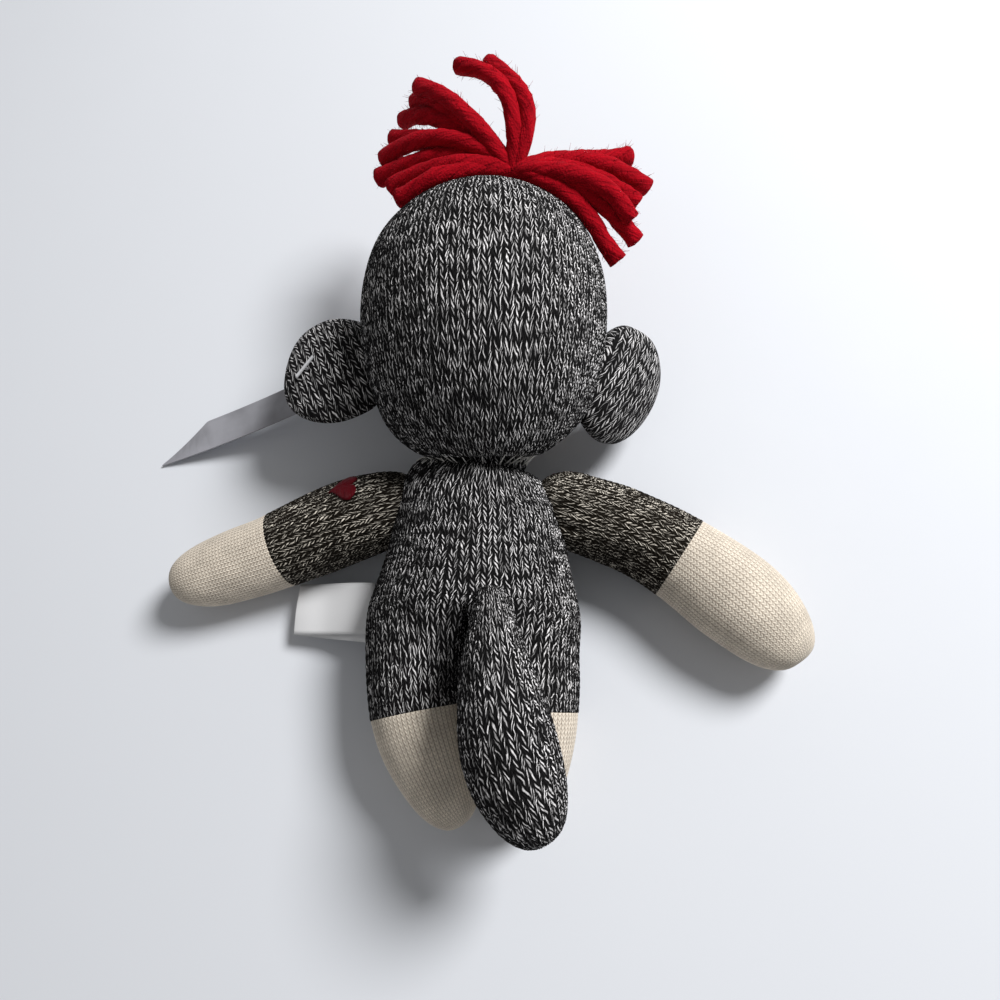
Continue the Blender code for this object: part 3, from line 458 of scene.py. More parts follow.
def grid_mesh(columns, rows):
    """A flat grid, and where each of its points is from 0 to 1 across and along."""
    bm = bmesh.new()
    bmesh.ops.create_grid(bm, x_segments=columns, y_segments=rows, size=0.5)
    mesh = bpy.data.meshes.new("grid")
    bm.to_mesh(mesh)
    bm.free()
    flat = np.empty(len(mesh.vertices) * 3, np.float32)
    mesh.vertices.foreach_get("co", flat)
    flat = flat.reshape(-1, 3).astype(float) + 0.5
    return mesh, flat[:, 0], flat[:, 1]


def laid_out(mesh, spots, gap, closed=True):
    """A bmesh of a grid laid out on these spots, with its seams and poles closed."""
    mesh.vertices.foreach_set("co", spots.astype(np.float32).ravel())
    bm = bmesh.new()
    bm.from_mesh(mesh)
    bpy.data.meshes.remove(mesh)
    bmesh.ops.remove_doubles(bm, verts=bm.verts, dist=gap)
    edges = [e for e in bm.edges if e.is_boundary]
    if closed and edges:
        bmesh.ops.holes_fill(bm, edges=edges, sides=0)
    outwards(bm)
    bm.normal_update()
    return bm


def map_uv(bm, name, matrix, width, height):
    """Maps a flat piece from its own frame, by the size of one thread or row."""
    layer = bm.loops.layers.uv.new(name)
    back = matrix.inverted()
    for face in bm.faces:
        for loop in face.loops:
            p = back @ loop.vert.co
            loop[layer].uv = (p.x / width, p.y / height)


def knitted(name, place, wales, courses, material, relief, columns=4, lumps=0.0005,
            lump_size=0.014, first_wale=0, first_course=0, lean=None, seed=0, turned=False,
            warp=None):
    """A knitted skin with its stitches raised. place(u, v) gives the smooth skin's points
    for places counted in wales round it and courses along it, backwards if it is turned."""
    lean = bpy.context.scene.doll_knit.lean if lean is None else lean
    mesh, x, y = grid_mesh(wales * columns, int(round((courses + lean) * STITCH_ROWS)))
    u = np.round(x * wales * columns) / columns
    climb = np.round(y * (courses + lean) * STITCH_ROWS) / STITCH_ROWS
    aside = np.abs(u % 1 - 0.5) * 2
    v = np.clip(climb - lean * aside, 0, courses)
    spots = place(wales - u, courses - v) if turned else place(u, v)
    if warp:
        spots = warp(spots)
    if lumps:
        out = spots - spots.mean(0)
        out /= np.maximum(np.linalg.norm(out, axis=1), 1e-9)[:, None]
        fade = np.clip(np.minimum(v, courses - v) / 4, 0, 1)
        spots = spots + out * (soft_noise(spots, lump_size, seed) * lumps * fade)[:, None]
    across = (v + lean * aside) % 1
    raised = np.sqrt(np.clip(4 * across * (1 - across), 0, 1))
    raised *= 0.55 + 0.45 * np.sqrt(np.clip(4 * aside * (1 - aside), 0, 1))
    mesh.attributes.new("raised", "FLOAT", "POINT").data.foreach_set(
        "value", (raised - 0.5).astype(np.float32))
    corners = np.empty(len(mesh.loops), np.int32)
    mesh.loops.foreach_get("vertex_index", corners)
    places = np.stack((u + first_wale, v + first_course), -1)[corners]
    mesh.uv_layers.new(name="stitches").data.foreach_set(
        "uv", places.astype(np.float32).ravel())
    bm = laid_out(mesh, spots, 2e-5)
    height = bm.verts.layers.float["raised"]
    for vert in bm.verts:
        vert.co += vert.normal * (vert[height] * relief)
        if vert.co.z < FLOOR_PRESS:
            vert.co.z = FLOOR_PRESS + (vert.co.z - FLOOR_PRESS) * 0.08
    return new_piece(name, bm, material)


def fine_knitted(name, place, wales, courses, seed, lumps):
    """A cream skin of fine stitches."""
    knit = bpy.context.scene.doll_knit
    return knitted(name, place, wales, courses, cream_material("cream knit"),
                   knit.fine_relief, columns=2, lean=FINE_LEAN, lumps=lumps, seed=seed)


def tilt_neck(spots):
    """Carries the neck's seam towards the head on its sides, as the head hangs back."""
    low = np.clip((NECK_TOP - spots[:, 2]) / NECK_TOP, 0, 0.45) * NECK_TOP
    near = np.exp(-((spots[:, 1] - NECK_PLACE[1]) / NECK_REACH) ** 2)
    moved = spots.copy()
    moved[:, 1] += low * NECK_TILT * near
    return moved


def round_form(form, wales, courses, start=0.0, end=None, first_turn=math.pi / 2, gathers=()):
    """The place function of a skin that runs round a form."""
    end = form.length if end is None else end

    def place(u, v):
        turn = first_turn + 2 * math.pi * u / wales
        return form.place(turn, start + (end - start) * v / courses, gathers)

    return place


# Materials

def once(make):
    """Makes each material or node group only the first time that its name is asked for."""
    def get(name, *values, **sockets):
        found = bpy.data.materials.get(name) or bpy.data.node_groups.get(name)
        return found or make(name, *values, **sockets)
    return get


def shades(base, low, high):
    """A darker and a lighter shade of a colour."""
    return [tuple(min(c * k, 1) for c in base[:3]) + (1,) for k in (low, high)]


class Wires:
    """Adds nodes to a tree in few words."""

    def __init__(self, tree):
        self.tree = tree

    def node(self, kind, *values, **settings):
        """A shader node, with these values or sockets put in its inputs in order."""
        made = self.tree.nodes.new("ShaderNode" + kind)
        for key, value in settings.items():
            setattr(made, key, value)
        for socket, value in zip(made.inputs, values):
            self.put(socket, value)
        return made

    def put(self, socket, value):
        if isinstance(value, bpy.types.NodeSocket):
            self.tree.links.new(value, socket)
        elif value is not None:
            socket.default_value = value

    def math(self, operation, *values):
        return self.node("Math", *values, operation=operation).outputs[0]

    def times(self, first, second):
        return self.math("MULTIPLY", first, second)

    def fma(self, first, second, third):
        return self.math("MULTIPLY_ADD", first, second, third)

    def off(self, first, second):
        """How far two values are apart."""
        return self.math("ABSOLUTE", self.math("SUBTRACT", first, second))

    def dome(self, value):
        """A round arch over 0 to 1."""
        rest = self.math("SUBTRACT", 1.0, value)
        return self.math("SQRT", self.times(self.times(value, rest), 4.0))

    def waves(self, value):
        """Round ridges, one to each whole number."""
        return self.math("ABSOLUTE", self.math("SINE", self.times(value, math.pi)))

    def mix(self, amount, low, high, kind="MIX"):
        made = self.node("Mix", data_type="RGBA", blend_type=kind)
        self.put(made.inputs["Factor"], amount)
        self.put(made.inputs["A"], low)
        self.put(made.inputs["B"], high)
        return made.outputs["Result"]

    def spread(self, value, low, high, to_low=0.0, to_high=1.0, kind="LINEAR"):
        return self.node("MapRange", value, low, high, to_low, to_high,
                         interpolation_type=kind).outputs["Result"]

    def noise(self, vector, scale, detail=2.0, out="Fac"):
        made = self.node("TexNoise")
        for name, value in (("Vector", vector), ("Scale", scale), ("Detail", detail)):
            self.put(made.inputs[name], value)
        return made.outputs[out]

    def vector(self, *parts):
        return self.node("CombineXYZ", *parts).outputs[0]

    def parts(self, vector):
        """A vector's first two parts."""
        return self.node("SeparateXYZ", vector).outputs[:2]

    def group(self, tree, **values):
        made = self.node("Group", node_tree=tree)
        for name, value in values.items():
            self.put(made.inputs[name], value)
        return made.outputs


class Finish(Wires):
    """A new material: its shader's own constants, and the nodes that feed it."""

    def __init__(self, name, roughness, **constants):
        self.material = bpy.data.materials.new(name)
        self.material.use_nodes = True
        super().__init__(self.material.node_tree)
        self.sockets = self.tree.nodes["Principled BSDF"].inputs
        for socket, value in {"Roughness": roughness, **constants}.items():
            self.sockets[socket.replace("_", " ")].default_value = value

    def place(self):
        return self.node("TexCoord").outputs["Object"]

    def uv(self, name):
        return self.node("UVMap", uv_map=name).outputs["UV"]

    def fuzz(self, scale):
        return self.group(fuzz_group("fibre fuzz"), Place=self.place(), Scale=scale)

    def tinted(self, base, shade):
        grey = self.node("CombineColor", shade, shade, shade).outputs[0]
        return self.mix(1.0, base, grey, "MULTIPLY")

    def done(self, base, height, distance, strength=1.0, roughness=None):
        """Feeds the colour, the bump and, where it changes, the roughness."""
        made = self.node("Bump")
        for name, value in (("Height", height), ("Distance", distance),
                            ("Strength", strength)):
            self.put(made.inputs[name], value)
        for name, value in (("Base Color", base), ("Roughness", roughness),
                            ("Normal", made.outputs["Normal"])):
            self.put(self.sockets[name], value)
        return self.material


def new_group(name, inputs, outputs):
    """A node group. An input without a default is a vector, all other sockets are numbers."""
    tree = bpy.data.node_groups.new(name, "ShaderNodeTree")
    for label, default in inputs.items():
        kind = "NodeSocketVector" if default is None else "NodeSocketFloat"
        socket = tree.interface.new_socket(name=label, in_out="INPUT", socket_type=kind)
        if default is not None:
            socket.default_value = default
    for label in outputs:
        tree.interface.new_socket(name=label, in_out="OUTPUT", socket_type="NodeSocketFloat")
    return (tree, Wires(tree), tree.nodes.new("NodeGroupInput").outputs,
            tree.nodes.new("NodeGroupOutput").inputs)


@once
def stitches_group(name):
    """Rows of V stitches: their height, and the light stroke that shows on each leg."""
    tree, w, given, made = new_group(
        name, {"Stitches": None, "Lean": 1.6, "Width": 0.3, "Reach": 0.36, "Seed": 0.0},
        ("Height", "Light", "Chance"))
    u, v = w.parts(given["Stitches"])
    centred = w.math("SUBTRACT", w.math("FRACT", u), 0.5)
    aside = w.times(w.math("ABSOLUTE", centred), 2.0)
    hand = w.math("SIGN", centred)
    climb = w.fma(aside, given["Lean"], v)
    across = w.math("FRACT", climb)
    dome = w.dome(across)
    w.put(made["Height"], w.times(dome, w.fma(w.dome(aside), 0.45, 0.55)))
    leg = w.vector(w.fma(w.math("FLOOR", u), 2.0, hand), w.math("FLOOR", climb), given["Seed"])
    own = w.node("TexWhiteNoise", leg, noise_dimensions="3D").outputs
    chances = w.node("SeparateColor", own["Color"]).outputs
    line = w.fma(w.math("SUBTRACT", aside, 0.5), w.fma(hand, 0.60, -0.55), 0.32)
    line = w.fma(chances[0], 0.36, line)
    thin = w.times(given["Width"], w.spread(chances[1], 0.0, 1.0, 0.6, 1.2))
    stroke = w.spread(w.off(across, line), thin, w.times(thin, 0.35), kind="SMOOTHSTEP")
    away = w.off(aside, w.spread(chances[2], 0.0, 1.0, 0.30, 0.70))
    run = w.spread(away, given["Reach"], w.times(given["Reach"], 0.55), kind="SMOOTHSTEP")
    strength = w.spread(own["Value"], 0.0, 0.55, 0.20, 1.0)
    torn = w.vector(w.times(u, 7.0), w.times(climb, 3.0), given["Seed"])
    ragged = w.spread(w.noise(torn, 1.3, 3.0), 0.36, 0.50, 0.35, 1.0)
    light = w.times(w.times(stroke, run), w.times(strength, ragged))
    w.put(made["Light"], w.times(light, w.spread(dome, 0.2, 0.6)))
    w.put(made["Chance"], own["Value"])
    return tree


@once
def fuzz_group(name):
    """Fine fibres over any yarn or cloth: a height and a small change of shade."""
    tree, w, given, made = new_group(name, {"Place": None, "Scale": 2500.0},
                                     ("Height", "Shade"))
    fine = w.noise(given["Place"], given["Scale"], 3.0)
    broad = w.noise(given["Place"], w.times(given["Scale"], 0.04))
    w.put(made["Height"], fine)
    w.put(made["Shade"], w.math("ADD", w.spread(fine, 0.3, 0.7, -0.12, 0.12),
                                w.spread(broad, 0.3, 0.7, 0.9, 1.1)))
    return tree


@once
def marl_material(name, dark, light, width, seed):
    """Marl stockinette: a dark and a light ply twisted together."""
    knit = bpy.context.scene.doll_knit
    w = Finish(name, 0.9, Specular_IOR_Level=0.12)
    spots = w.uv("stitches")
    drift = w.node("VectorMath", w.noise(spots, 0.55, out="Color"), (0.55, 1.5, 0.0), spots,
                   operation="MULTIPLY_ADD").outputs[0]
    knots = w.group(stitches_group("knit stitches"), Stitches=drift, Lean=knit.lean,
                    Width=width, Seed=seed)
    fuzz = w.fuzz(3200.0)
    # Painted shade: the hollows between stitches are darkened to 0.3 of the yarn's colour
    hollow_shade = w.spread(knots["Height"], 0.0, 0.7, 0.3, 1.0)
    return w.done(w.tinted(w.mix(knots["Light"], dark, light), w.times(hollow_shade, fuzz["Shade"])),
                  w.fma(fuzz["Height"], 0.25, knots["Height"]), knit.relief * 0.8)


@once
def cream_material(name):
    """Fine cream stockinette."""
    knit = bpy.context.scene.doll_knit
    w = Finish(name, 0.88, Specular_IOR_Level=0.2, Sheen_Weight=0.08, Sheen_Roughness=0.5)
    spots = w.uv("stitches")
    knots = w.group(stitches_group("knit stitches"), Stitches=spots, Lean=FINE_LEAN, Seed=11)
    fuzz = w.fuzz(3600.0)
    rib = w.off(w.math("FRACT", w.parts(spots)[0]), 0.5)
    # Painted shade: depth falls in the hollows between stitches and between wales, mixing towards the
    # painted shade colour
    depth = w.times(w.spread(knots["Height"], 0.10, 0.80, 0.15, 1.0, "SMOOTHSTEP"),
                    w.spread(rib, 0.28, 0.48, 1.0, 0.25, "SMOOTHSTEP"))
    shade = w.times(fuzz["Shade"], w.spread(knots["Chance"], 0.0, 1.0, 0.92, 1.05))
    return w.done(w.tinted(w.mix(depth, knit.cream_painted_shade, knit.cream), shade),
                  w.fma(fuzz["Height"], 0.3, knots["Height"]), knit.fine_relief * 1.2)


@once
def plain_material(name, base, roughness, grain, depth, uneven, **constants):
    """A finish with a fine grain: a height, a small change of shade and of roughness."""
    w = Finish(name, roughness, **constants)
    place = w.place()
    fine = w.noise(place, grain, 3.0)
    broad = w.spread(w.noise(place, grain * 0.05), 0.35, 0.65)
    rough = w.spread(fine, 0.3, 0.7, roughness * 0.85, min(roughness * 1.15, 1))
    return w.done(w.mix(broad, *shades(base, 1 - uneven, 1 + uneven)), fine, depth,
                  roughness=rough)


@once
def yarn_material(name, base, shade):
    """Soft yarn whose plies wind round it. Its map counts turns round and plies along."""
    w = Finish(name, 0.95, Specular_IOR_Level=0.1, Sheen_Weight=0.10, Sheen_Roughness=0.5,
               Sheen_Tint=(1.0, 0.08, 0.12, 1))
    turns, along = w.parts(w.uv("plies"))
    wound = w.math("ADD", w.times(turns, YARN_PLIES), along)
    ridge = w.waves(wound)
    fuzz = w.fuzz(1500.0)
    streaks = w.noise(w.vector(w.times(wound, 3.0), w.times(along, 0.6)), 2.0, 3.0)
    # Painted shade in the grooves between plies, and darker random streaks along the yarn
    depth = w.times(w.spread(ridge, 0.0, 0.5, 0.72, 1.0),
                    w.spread(streaks, 0.3, 0.7, 0.55, 1.1))
    height = w.fma(ridge, 0.35, w.math("ADD", fuzz["Height"], streaks))
    return w.done(w.tinted(w.mix(depth, shade, base), fuzz["Shade"]), height, 0.0004)


@once
def thread_fill_material(name, base):
    """Close rows of shiny thread, with painted shade between the rows and a painted highlight along each
    row's top.
    """
    w = Finish(name, 0.5, Specular_IOR_Level=0.12)
    spots = w.uv("plies")
    rows = w.waves(w.math("ADD", w.parts(spots)[0], w.noise(spots, 0.9)))
    # Painted shade and highlight: 0.45 of the colour between rows, 1.35 of it on their tops
    return w.done(w.mix(rows, *shades(base, 0.45, 1.35)), rows, 0.00010)


@once
def satin_material(name, base):
    """Woven satin ribbon: fine threads one way, with painted shade between them."""
    w = Finish(name, 0.32, Sheen_Weight=0.2, Anisotropic=0.5)
    cross, threads = w.parts(w.uv("plies"))
    weave = w.fma(w.waves(cross), 0.3, w.waves(threads))
    rough = w.spread(w.noise(w.place(), 160.0), 0.3, 0.7, 0.26, 0.40)
    # Painted shade: the colour falls to 0.86 of the satin's between the threads
    return w.done(w.mix(w.spread(weave, 0.0, 0.9), *shades(base, 0.86, 1.0)), weave, 0.00003,
                  0.5, rough)


@once
def card_material(name, base):
    """Coated card with soft blotches."""
    w = Finish(name, 0.34)
    place = w.place()
    broad = w.noise(place, 90.0, 3.0)
    return w.done(w.mix(w.spread(broad, 0.35, 0.65), *shades(base, 0.86, 1.14)),
                  w.noise(place, 4000.0), 0.00002, 0.6,
                  w.spread(broad, 0.3, 0.7, 0.28, 0.42))


def body_marl(seed=0):
    knit = bpy.context.scene.doll_knit
    return marl_material(f"marl knit {seed}", knit.dark, knit.light, 0.30, seed)


def arm_marl():
    knit = bpy.context.scene.doll_knit
    return marl_material("arm knit", knit.arm_dark, knit.arm_light, 0.28, 5)


def pale_thread():
    return plain_material("pale thread", bpy.context.scene.doll_trim.thread, 0.8, 5000.0,
                          0.00006, 0.2)


# Pieces

class DOLL_OT_torso(bpy.types.Operator):
    """Knits the torso down to the waist, and both thighs from there to their cuffs."""
    bl_idname = "doll.torso"
    bl_label = "Torso and thighs"

    def execute(self, context):
        knit = context.scene.doll_knit
        torso = Form(limb_frame(NECK_PLACE, TORSO_HEADING), share_rows(TORSO_ROWS, TORSO_SIZE),
                     end="open")
        waist = torso.spot_at(WAIST)
        wales = 2 * THIGH_OUTER
        courses = round(waist / knit.course)
        place = round_form(torso, wales, courses, 0.0, waist, -math.pi / 2,
                           ((torso.spot_at(0.001), 0.012, 17, 0.0008),))
        skin = knitted("torso_skin", place, wales, courses, body_marl(), knit.relief,
                       first_wale=-THIGH_OUTER, seed=1, warp=tilt_neck)
        dress(skin, "marled", 0.85, None, "body_cover", "body_stuffing")
        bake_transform(skin, "torso", "neck", SEAM - SEAM_OUT * 0.0045, SEAM)
        for side, leg in LEGS.items():
            self.thigh(knit, torso, waist, courses, side, leg)
        return {"FINISHED"}

    def thigh(self, knit, torso, waist, first_course, side, leg):
        """A skin that starts as half of the torso's ring and ends as the leg's."""
        form = leg_form(leg)
        cuff = form.spot_at(LEG_CUFF * LEG_SIZE[0])
        courses = round(cuff / knit.course)

        def on(part, angle, spot):
            return part.place(angle if side == "left" else math.pi - angle, spot)

        def place(u, v):
            t = np.clip(u / THIGH_OUTER, 0, 1)
            w = np.clip((u - THIGH_OUTER) / THIGH_INNER, 0, 1)[..., None]
            along = v / courses
            reach = waist + along * (torso.spot_at(THIGH_REACH) - waist)
            outer = on(torso, math.pi / 2 + math.pi * t, reach)
            belly = on(torso, np.full_like(t, math.pi * 1.5), reach)
            back = on(torso, np.full_like(t, math.pi * 0.5), reach)
            at_torso = np.where(w > 0, belly * (1 - w) + back * w, outer)
            angle = THIGH_INNER_ANGLE + t * (2 * math.pi - 2 * THIGH_INNER_ANGLE)
            at_leg = on(form, angle + w[..., 0] * 2 * THIGH_INNER_ANGLE, along * cuff)
            x = np.clip((along - 0.02) / 0.62, 0, 1)
            m = (x * x * (3 - 2 * x))[..., None]
            return at_torso * (1 - m) + at_leg * m

        skin = knitted(f"{side}_thigh_skin", place, THIGH_OUTER + THIGH_INNER, courses,
                       body_marl(), knit.relief, first_course=first_course, seed=2)
        dress(skin, "marled", 0.85, None, f"{side}_leg_cover", f"{side}_leg_stuffing")
        x, _, z = leg["place"]
        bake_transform(skin, "torso", f"{side}_leg", (x, -0.0055, z), (x, -0.0315, z))


def limb_end(name, form, cuff, wales, body, seed, node):
    """A cream skin from a limb's cuff to its closed end."""
    courses = round((form.length - cuff) / bpy.context.scene.doll_knit.fine_course)
    skin = fine_knitted(name, round_form(form, wales, courses, cuff), wales, courses, seed,
                        0.0004)
    dress(skin, "cream", 0.85, body, node)


class DOLL_OT_feet(bpy.types.Operator):
    """Knits the two cream feet."""
    bl_idname = "doll.feet"
    bl_label = "Feet"

    def execute(self, context):
        for side, leg in LEGS.items():
            form = leg_form(leg)
            limb_end(f"{side}_foot_skin", form, form.spot_at(LEG_CUFF * LEG_SIZE[0]), 64,
                     f"{side}_leg", 3, f"{side}_foot_cover")
        return {"FINISHED"}


class DOLL_OT_arms(bpy.types.Operator):
    """Knits the two arms and their cream hands."""
    bl_idname = "doll.arms"
    bl_label = "Arms and hands"

    def execute(self, context):
        knit = context.scene.doll_knit
        for side, arm in ARMS.items():
            form = limb_form(arm)
            cuff = form.spot_at(arm["cuff"] * arm["size"][0])
            courses = round(cuff / (knit.course * 0.88))
            place = round_form(form, 30, courses, 0.0, cuff,
                               gathers=((form.spot_at(0.001), 0.008, 9, 0.0005),))
            sleeve = knitted(f"{side}_arm_skin", place, 30, courses, arm_marl(), knit.relief,
                             seed=4 + len(side))
            dress(sleeve, "marled", 0.85, f"{side}_arm", f"{side}_arm_cover",
                  f"{side}_arm_stuffing")
            limb_end(f"{side}_hand_skin", form, cuff, 56, f"{side}_arm", 6,
                     f"{side}_hand_cover")
        return {"FINISHED"}


class DOLL_OT_tail(bpy.types.Operator):
    """Knits the tail."""
    bl_idname = "doll.tail"
    bl_label = "Tail"

    def execute(self, context):
        knit = context.scene.doll_knit
        form = limb_form(TAIL)
        courses = round(form.length / knit.course)
        skin = knitted("tail_skin", round_form(form, 24, courses), 24, courses, body_marl(2),
                       knit.relief, seed=9)
        dress(skin, "marled", 0.85, "tail", "tail_cover", "tail_stuffing")
        return {"FINISHED"}


class DOLL_OT_head(bpy.types.Operator):
    """Knits the head, gathered at the neck and on the crown."""
    bl_idname = "doll.head"
    bl_label = "Head"

    def execute(self, context):
        knit = context.scene.doll_knit
        form = Form(limb_frame(NECK_PLACE, HEAD_HEADING), share_rows(HEAD_ROWS, HEAD_SIZE))
        courses = round(form.length / knit.course)
        place = round_form(form, 80, courses, gathers=(
            (form.spot_at(0.002), 0.013, 19, 0.0009), (form.length, 0.016, 14, 0.0007)))
        skin = knitted("head_skin", place, 80, courses, body_marl(1), knit.relief,
                       lumps=0.0006, lump_size=0.02, seed=12, turned=True, warp=tilt_neck)
        dress(skin, "marled", 0.9, None, "head_cover", "head_stuffing")
        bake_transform(skin, "neck", "head", SEAM, SEAM + SEAM_OUT * 0.0068)
        return {"FINISHED"}


class DOLL_OT_neck(bpy.types.Operator):
    """Gathers the neck inside its thread, and whips the head to the torso over it."""
    bl_idname = "doll.neck"
    bl_label = "Neck and its stitches"

    def execute(self, context):
        knit = context.scene.doll_knit
        matrix = limb_frame(NECK_PLACE, HEAD_HEADING)
        form = Form(matrix, [np.array((x, 0, 0, w, d)) for x, w, d in NECK_BAND])
        courses = round(form.length / knit.course)
        place = round_form(form, 26, courses, gathers=((form.length / 2, 0.008, 13, 0.0006),))
        band = knitted("neck_skin", place, 26, courses, body_marl(), knit.relief * 0.7,
                       lumps=0, seed=14, warp=tilt_neck)
        dress(band, "marled", 0.9, "neck", "neck_gather", "neck_thread")
        self.stitches(context, np.array(matrix))
        return {"FINISHED"}

    def stitches(self, context, matrix):
        """Slanted whip stitches in pale thread, laid over the seam all round."""
        depsgraph = context.evaluated_depsgraph_get()
        skins = [BVHTree.FromObject(bpy.data.objects[name], depsgraph)
                 for name in ("torso_skin", "neck_skin", "head_skin")]
        middle = Vector(matrix[:3, 3])
        bm = bmesh.new()
        for i in range(STITCH_COUNT):
            turn = 2 * math.pi * (i + 0.18 * math.sin(5 * i)) / STITCH_COUNT
            lean = 0.03 + 0.07 * math.sin(3.7 * i)
            half = 0.0018 + 0.0006 * math.sin(2.3 * i)
            spots = []
            for k in range(STITCH_STEPS + 1):
                t = k / STITCH_STEPS * 2 - 1
                a = turn + lean * t
                out = matrix[:3, :3] @ (0.0, math.cos(a), math.sin(a))
                point = matrix[:3, :3] @ (half * t, 0.0, 0.0) + out * 0.0134 + matrix[:3, 3]
                point, out = Vector(tilt_neck(point[None])[0]), Vector(out)
                start = point + out * STITCH_REACH
                reach = [(start - hit[0]).length for hit in (
                    skin.ray_cast(start, -out, 0.012) for skin in skins) if hit[0]]
                lift = 0.00045 * (1 - t * t) - 0.0002 * t ** 4
                spots.append(point + out * (
                    STITCH_REACH - min(reach, default=STITCH_REACH) + lift))
            for k in range(1, STITCH_STEPS):
                chord = spots[0].lerp(spots[-1], k / STITCH_STEPS)
                if (chord - middle).length > (spots[k] - middle).length:
                    spots[k] = spots[k].lerp(chord, 0.75)
            tube(bm, spots, [0.00017] * len(spots), 6)
        outwards(bm)
        new_piece("neck_stitches", bm, pale_thread(), "neck", ["neck_thread"])


def tube(bm, points, radii, sides, uv_layer=None, plies=0.0, squash=1.0, ridges=None):
    """A round tube through points, made by carrying a ring along them. Ridges are a number
    of plies and their height as a share of the radius."""
    rings = []
    run = 0.0
    for i, point in enumerate(points):
        before, after = points[max(i - 1, 0)], points[min(i + 1, len(points) - 1)]
        along = (after - before).normalized()
        normal = along.orthogonal() if i == 0 else normal - along * normal.dot(along)
        normal.normalize()
        turn = Matrix((normal, along.cross(normal), along)).transposed().to_4x4()
        here = Matrix.Translation(point) @ turn @ Matrix.Diagonal(
            (radii[i], radii[i] * squash, 1, 1))
        if i == 0:
            verts = bmesh.ops.create_circle(bm, segments=sides, radius=1, matrix=here)["verts"]
            edges = edges_of(verts)
            bmesh.ops.contextual_create(bm, geom=edges)
        else:
            ring = rings[-1][1]
            out = bmesh.ops.extrude_edge_only(bm, edges=edges)["geom"]
            verts, faces = ([g for g in out if isinstance(g, kind)]
                            for kind in (bmesh.types.BMVert, bmesh.types.BMFace))
            edges = [g for g in out if isinstance(g, bmesh.types.BMEdge)
                     and all(v in verts for v in g.verts)]
            bmesh.ops.transform(bm, matrix=here @ ring.inverted(), verts=verts)
            step = (point - points[i - 1]).length
            if uv_layer is not None:
                mark_tube(faces, uv_layer, here, ring, run * plies, (run + step) * plies)
            run += step
        rings.append((verts, here, run))
    bmesh.ops.contextual_create(bm, geom=edges)
    if ridges:
        for verts, here, run in rings:
            back = here.inverted()
            for vert in verts:
                p = back @ vert.co
                wound = math.atan2(p.y, p.x) / (2 * math.pi) * ridges[0] + run * plies
                grow = 1 + ridges[1] * (2 * abs(math.sin(math.pi * wound)) - 1)
                vert.co = here @ Vector((p.x * grow, p.y * grow, p.z))


def mark_tube(faces, layer, here, before, start, end):
    """Writes the map of one ring of a tube's faces: turns round it, and plies along it."""
    back, ahead = here.inverted(), before.inverted()
    for face in faces:
        c = back @ face.calc_center_median()
        base = math.atan2(c.y, c.x) / (2 * math.pi)
        for loop in face.loops:
            p, q = back @ loop.vert.co, ahead @ loop.vert.co
            near = abs(p.z) < abs(q.z)
            spot = p if near else q
            turn = math.atan2(spot.y, spot.x) / (2 * math.pi)
            loop[layer].uv = (turn + round(base - turn), end if near else start)


class DOLL_OT_ears(bpy.types.Operator):
    """Knits the two ears."""
    bl_idname = "doll.ears"
    bl_label = "Ears"

    def execute(self, context):
        for side, ear in EARS.items():
            self.ear(context.scene.doll_knit, side, ear)
        return {"FINISHED"}

    def ear(self, knit, side, ear):
        """A flat pouch, mapped from each face and round its rim."""
        matrix = limb_frame(ear["place"], ear["heading"], ear["pitch"])
        half = EAR_SIZE[2] / 2
        form = Form(matrix, [*root_rows(half, ear["root"], half),
                             *share_rows(ear["rows"], EAR_SIZE)])
        mesh, x, y = grid_mesh(96, 60)
        spots = form.place(x * 2 * math.pi, y * form.length)
        spots[:, 2] += soft_noise(spots, 0.009, 21 + len(side)) * 0.0004
        bm = laid_out(mesh, spots, 1e-5)
        layer = bm.loops.layers.uv.new("stitches")
        back = matrix.inverted()
        grain = Matrix.Rotation(math.radians(-ear["grain"]), 3, "Z")
        for face in bm.faces:
            tilt = (back.to_3x3() @ face.normal).z
            shift = (17.0, 9.0) if tilt < 0 else (0.0, 0.0)
            for loop in face.loops:
                p = back @ loop.vert.co
                if abs(tilt) < 0.5:
                    turn = math.atan2(p.y, p.x - EAR_SIZE[0] / 2)
                    loop[layer].uv = (turn * EAR_SIZE[1] / 2 / knit.wale, p.z / knit.course)
                    continue
                p = grain @ p
                loop[layer].uv = (shift[0] - p.y / knit.wale, p.x / knit.course + shift[1])
        skin = new_piece(f"{side}_ear_skin", bm, body_marl(3))
        dress(skin, "marled", 0.7, f"{side}_ear", f"{side}_ear_cover", f"{side}_ear_stuffing")


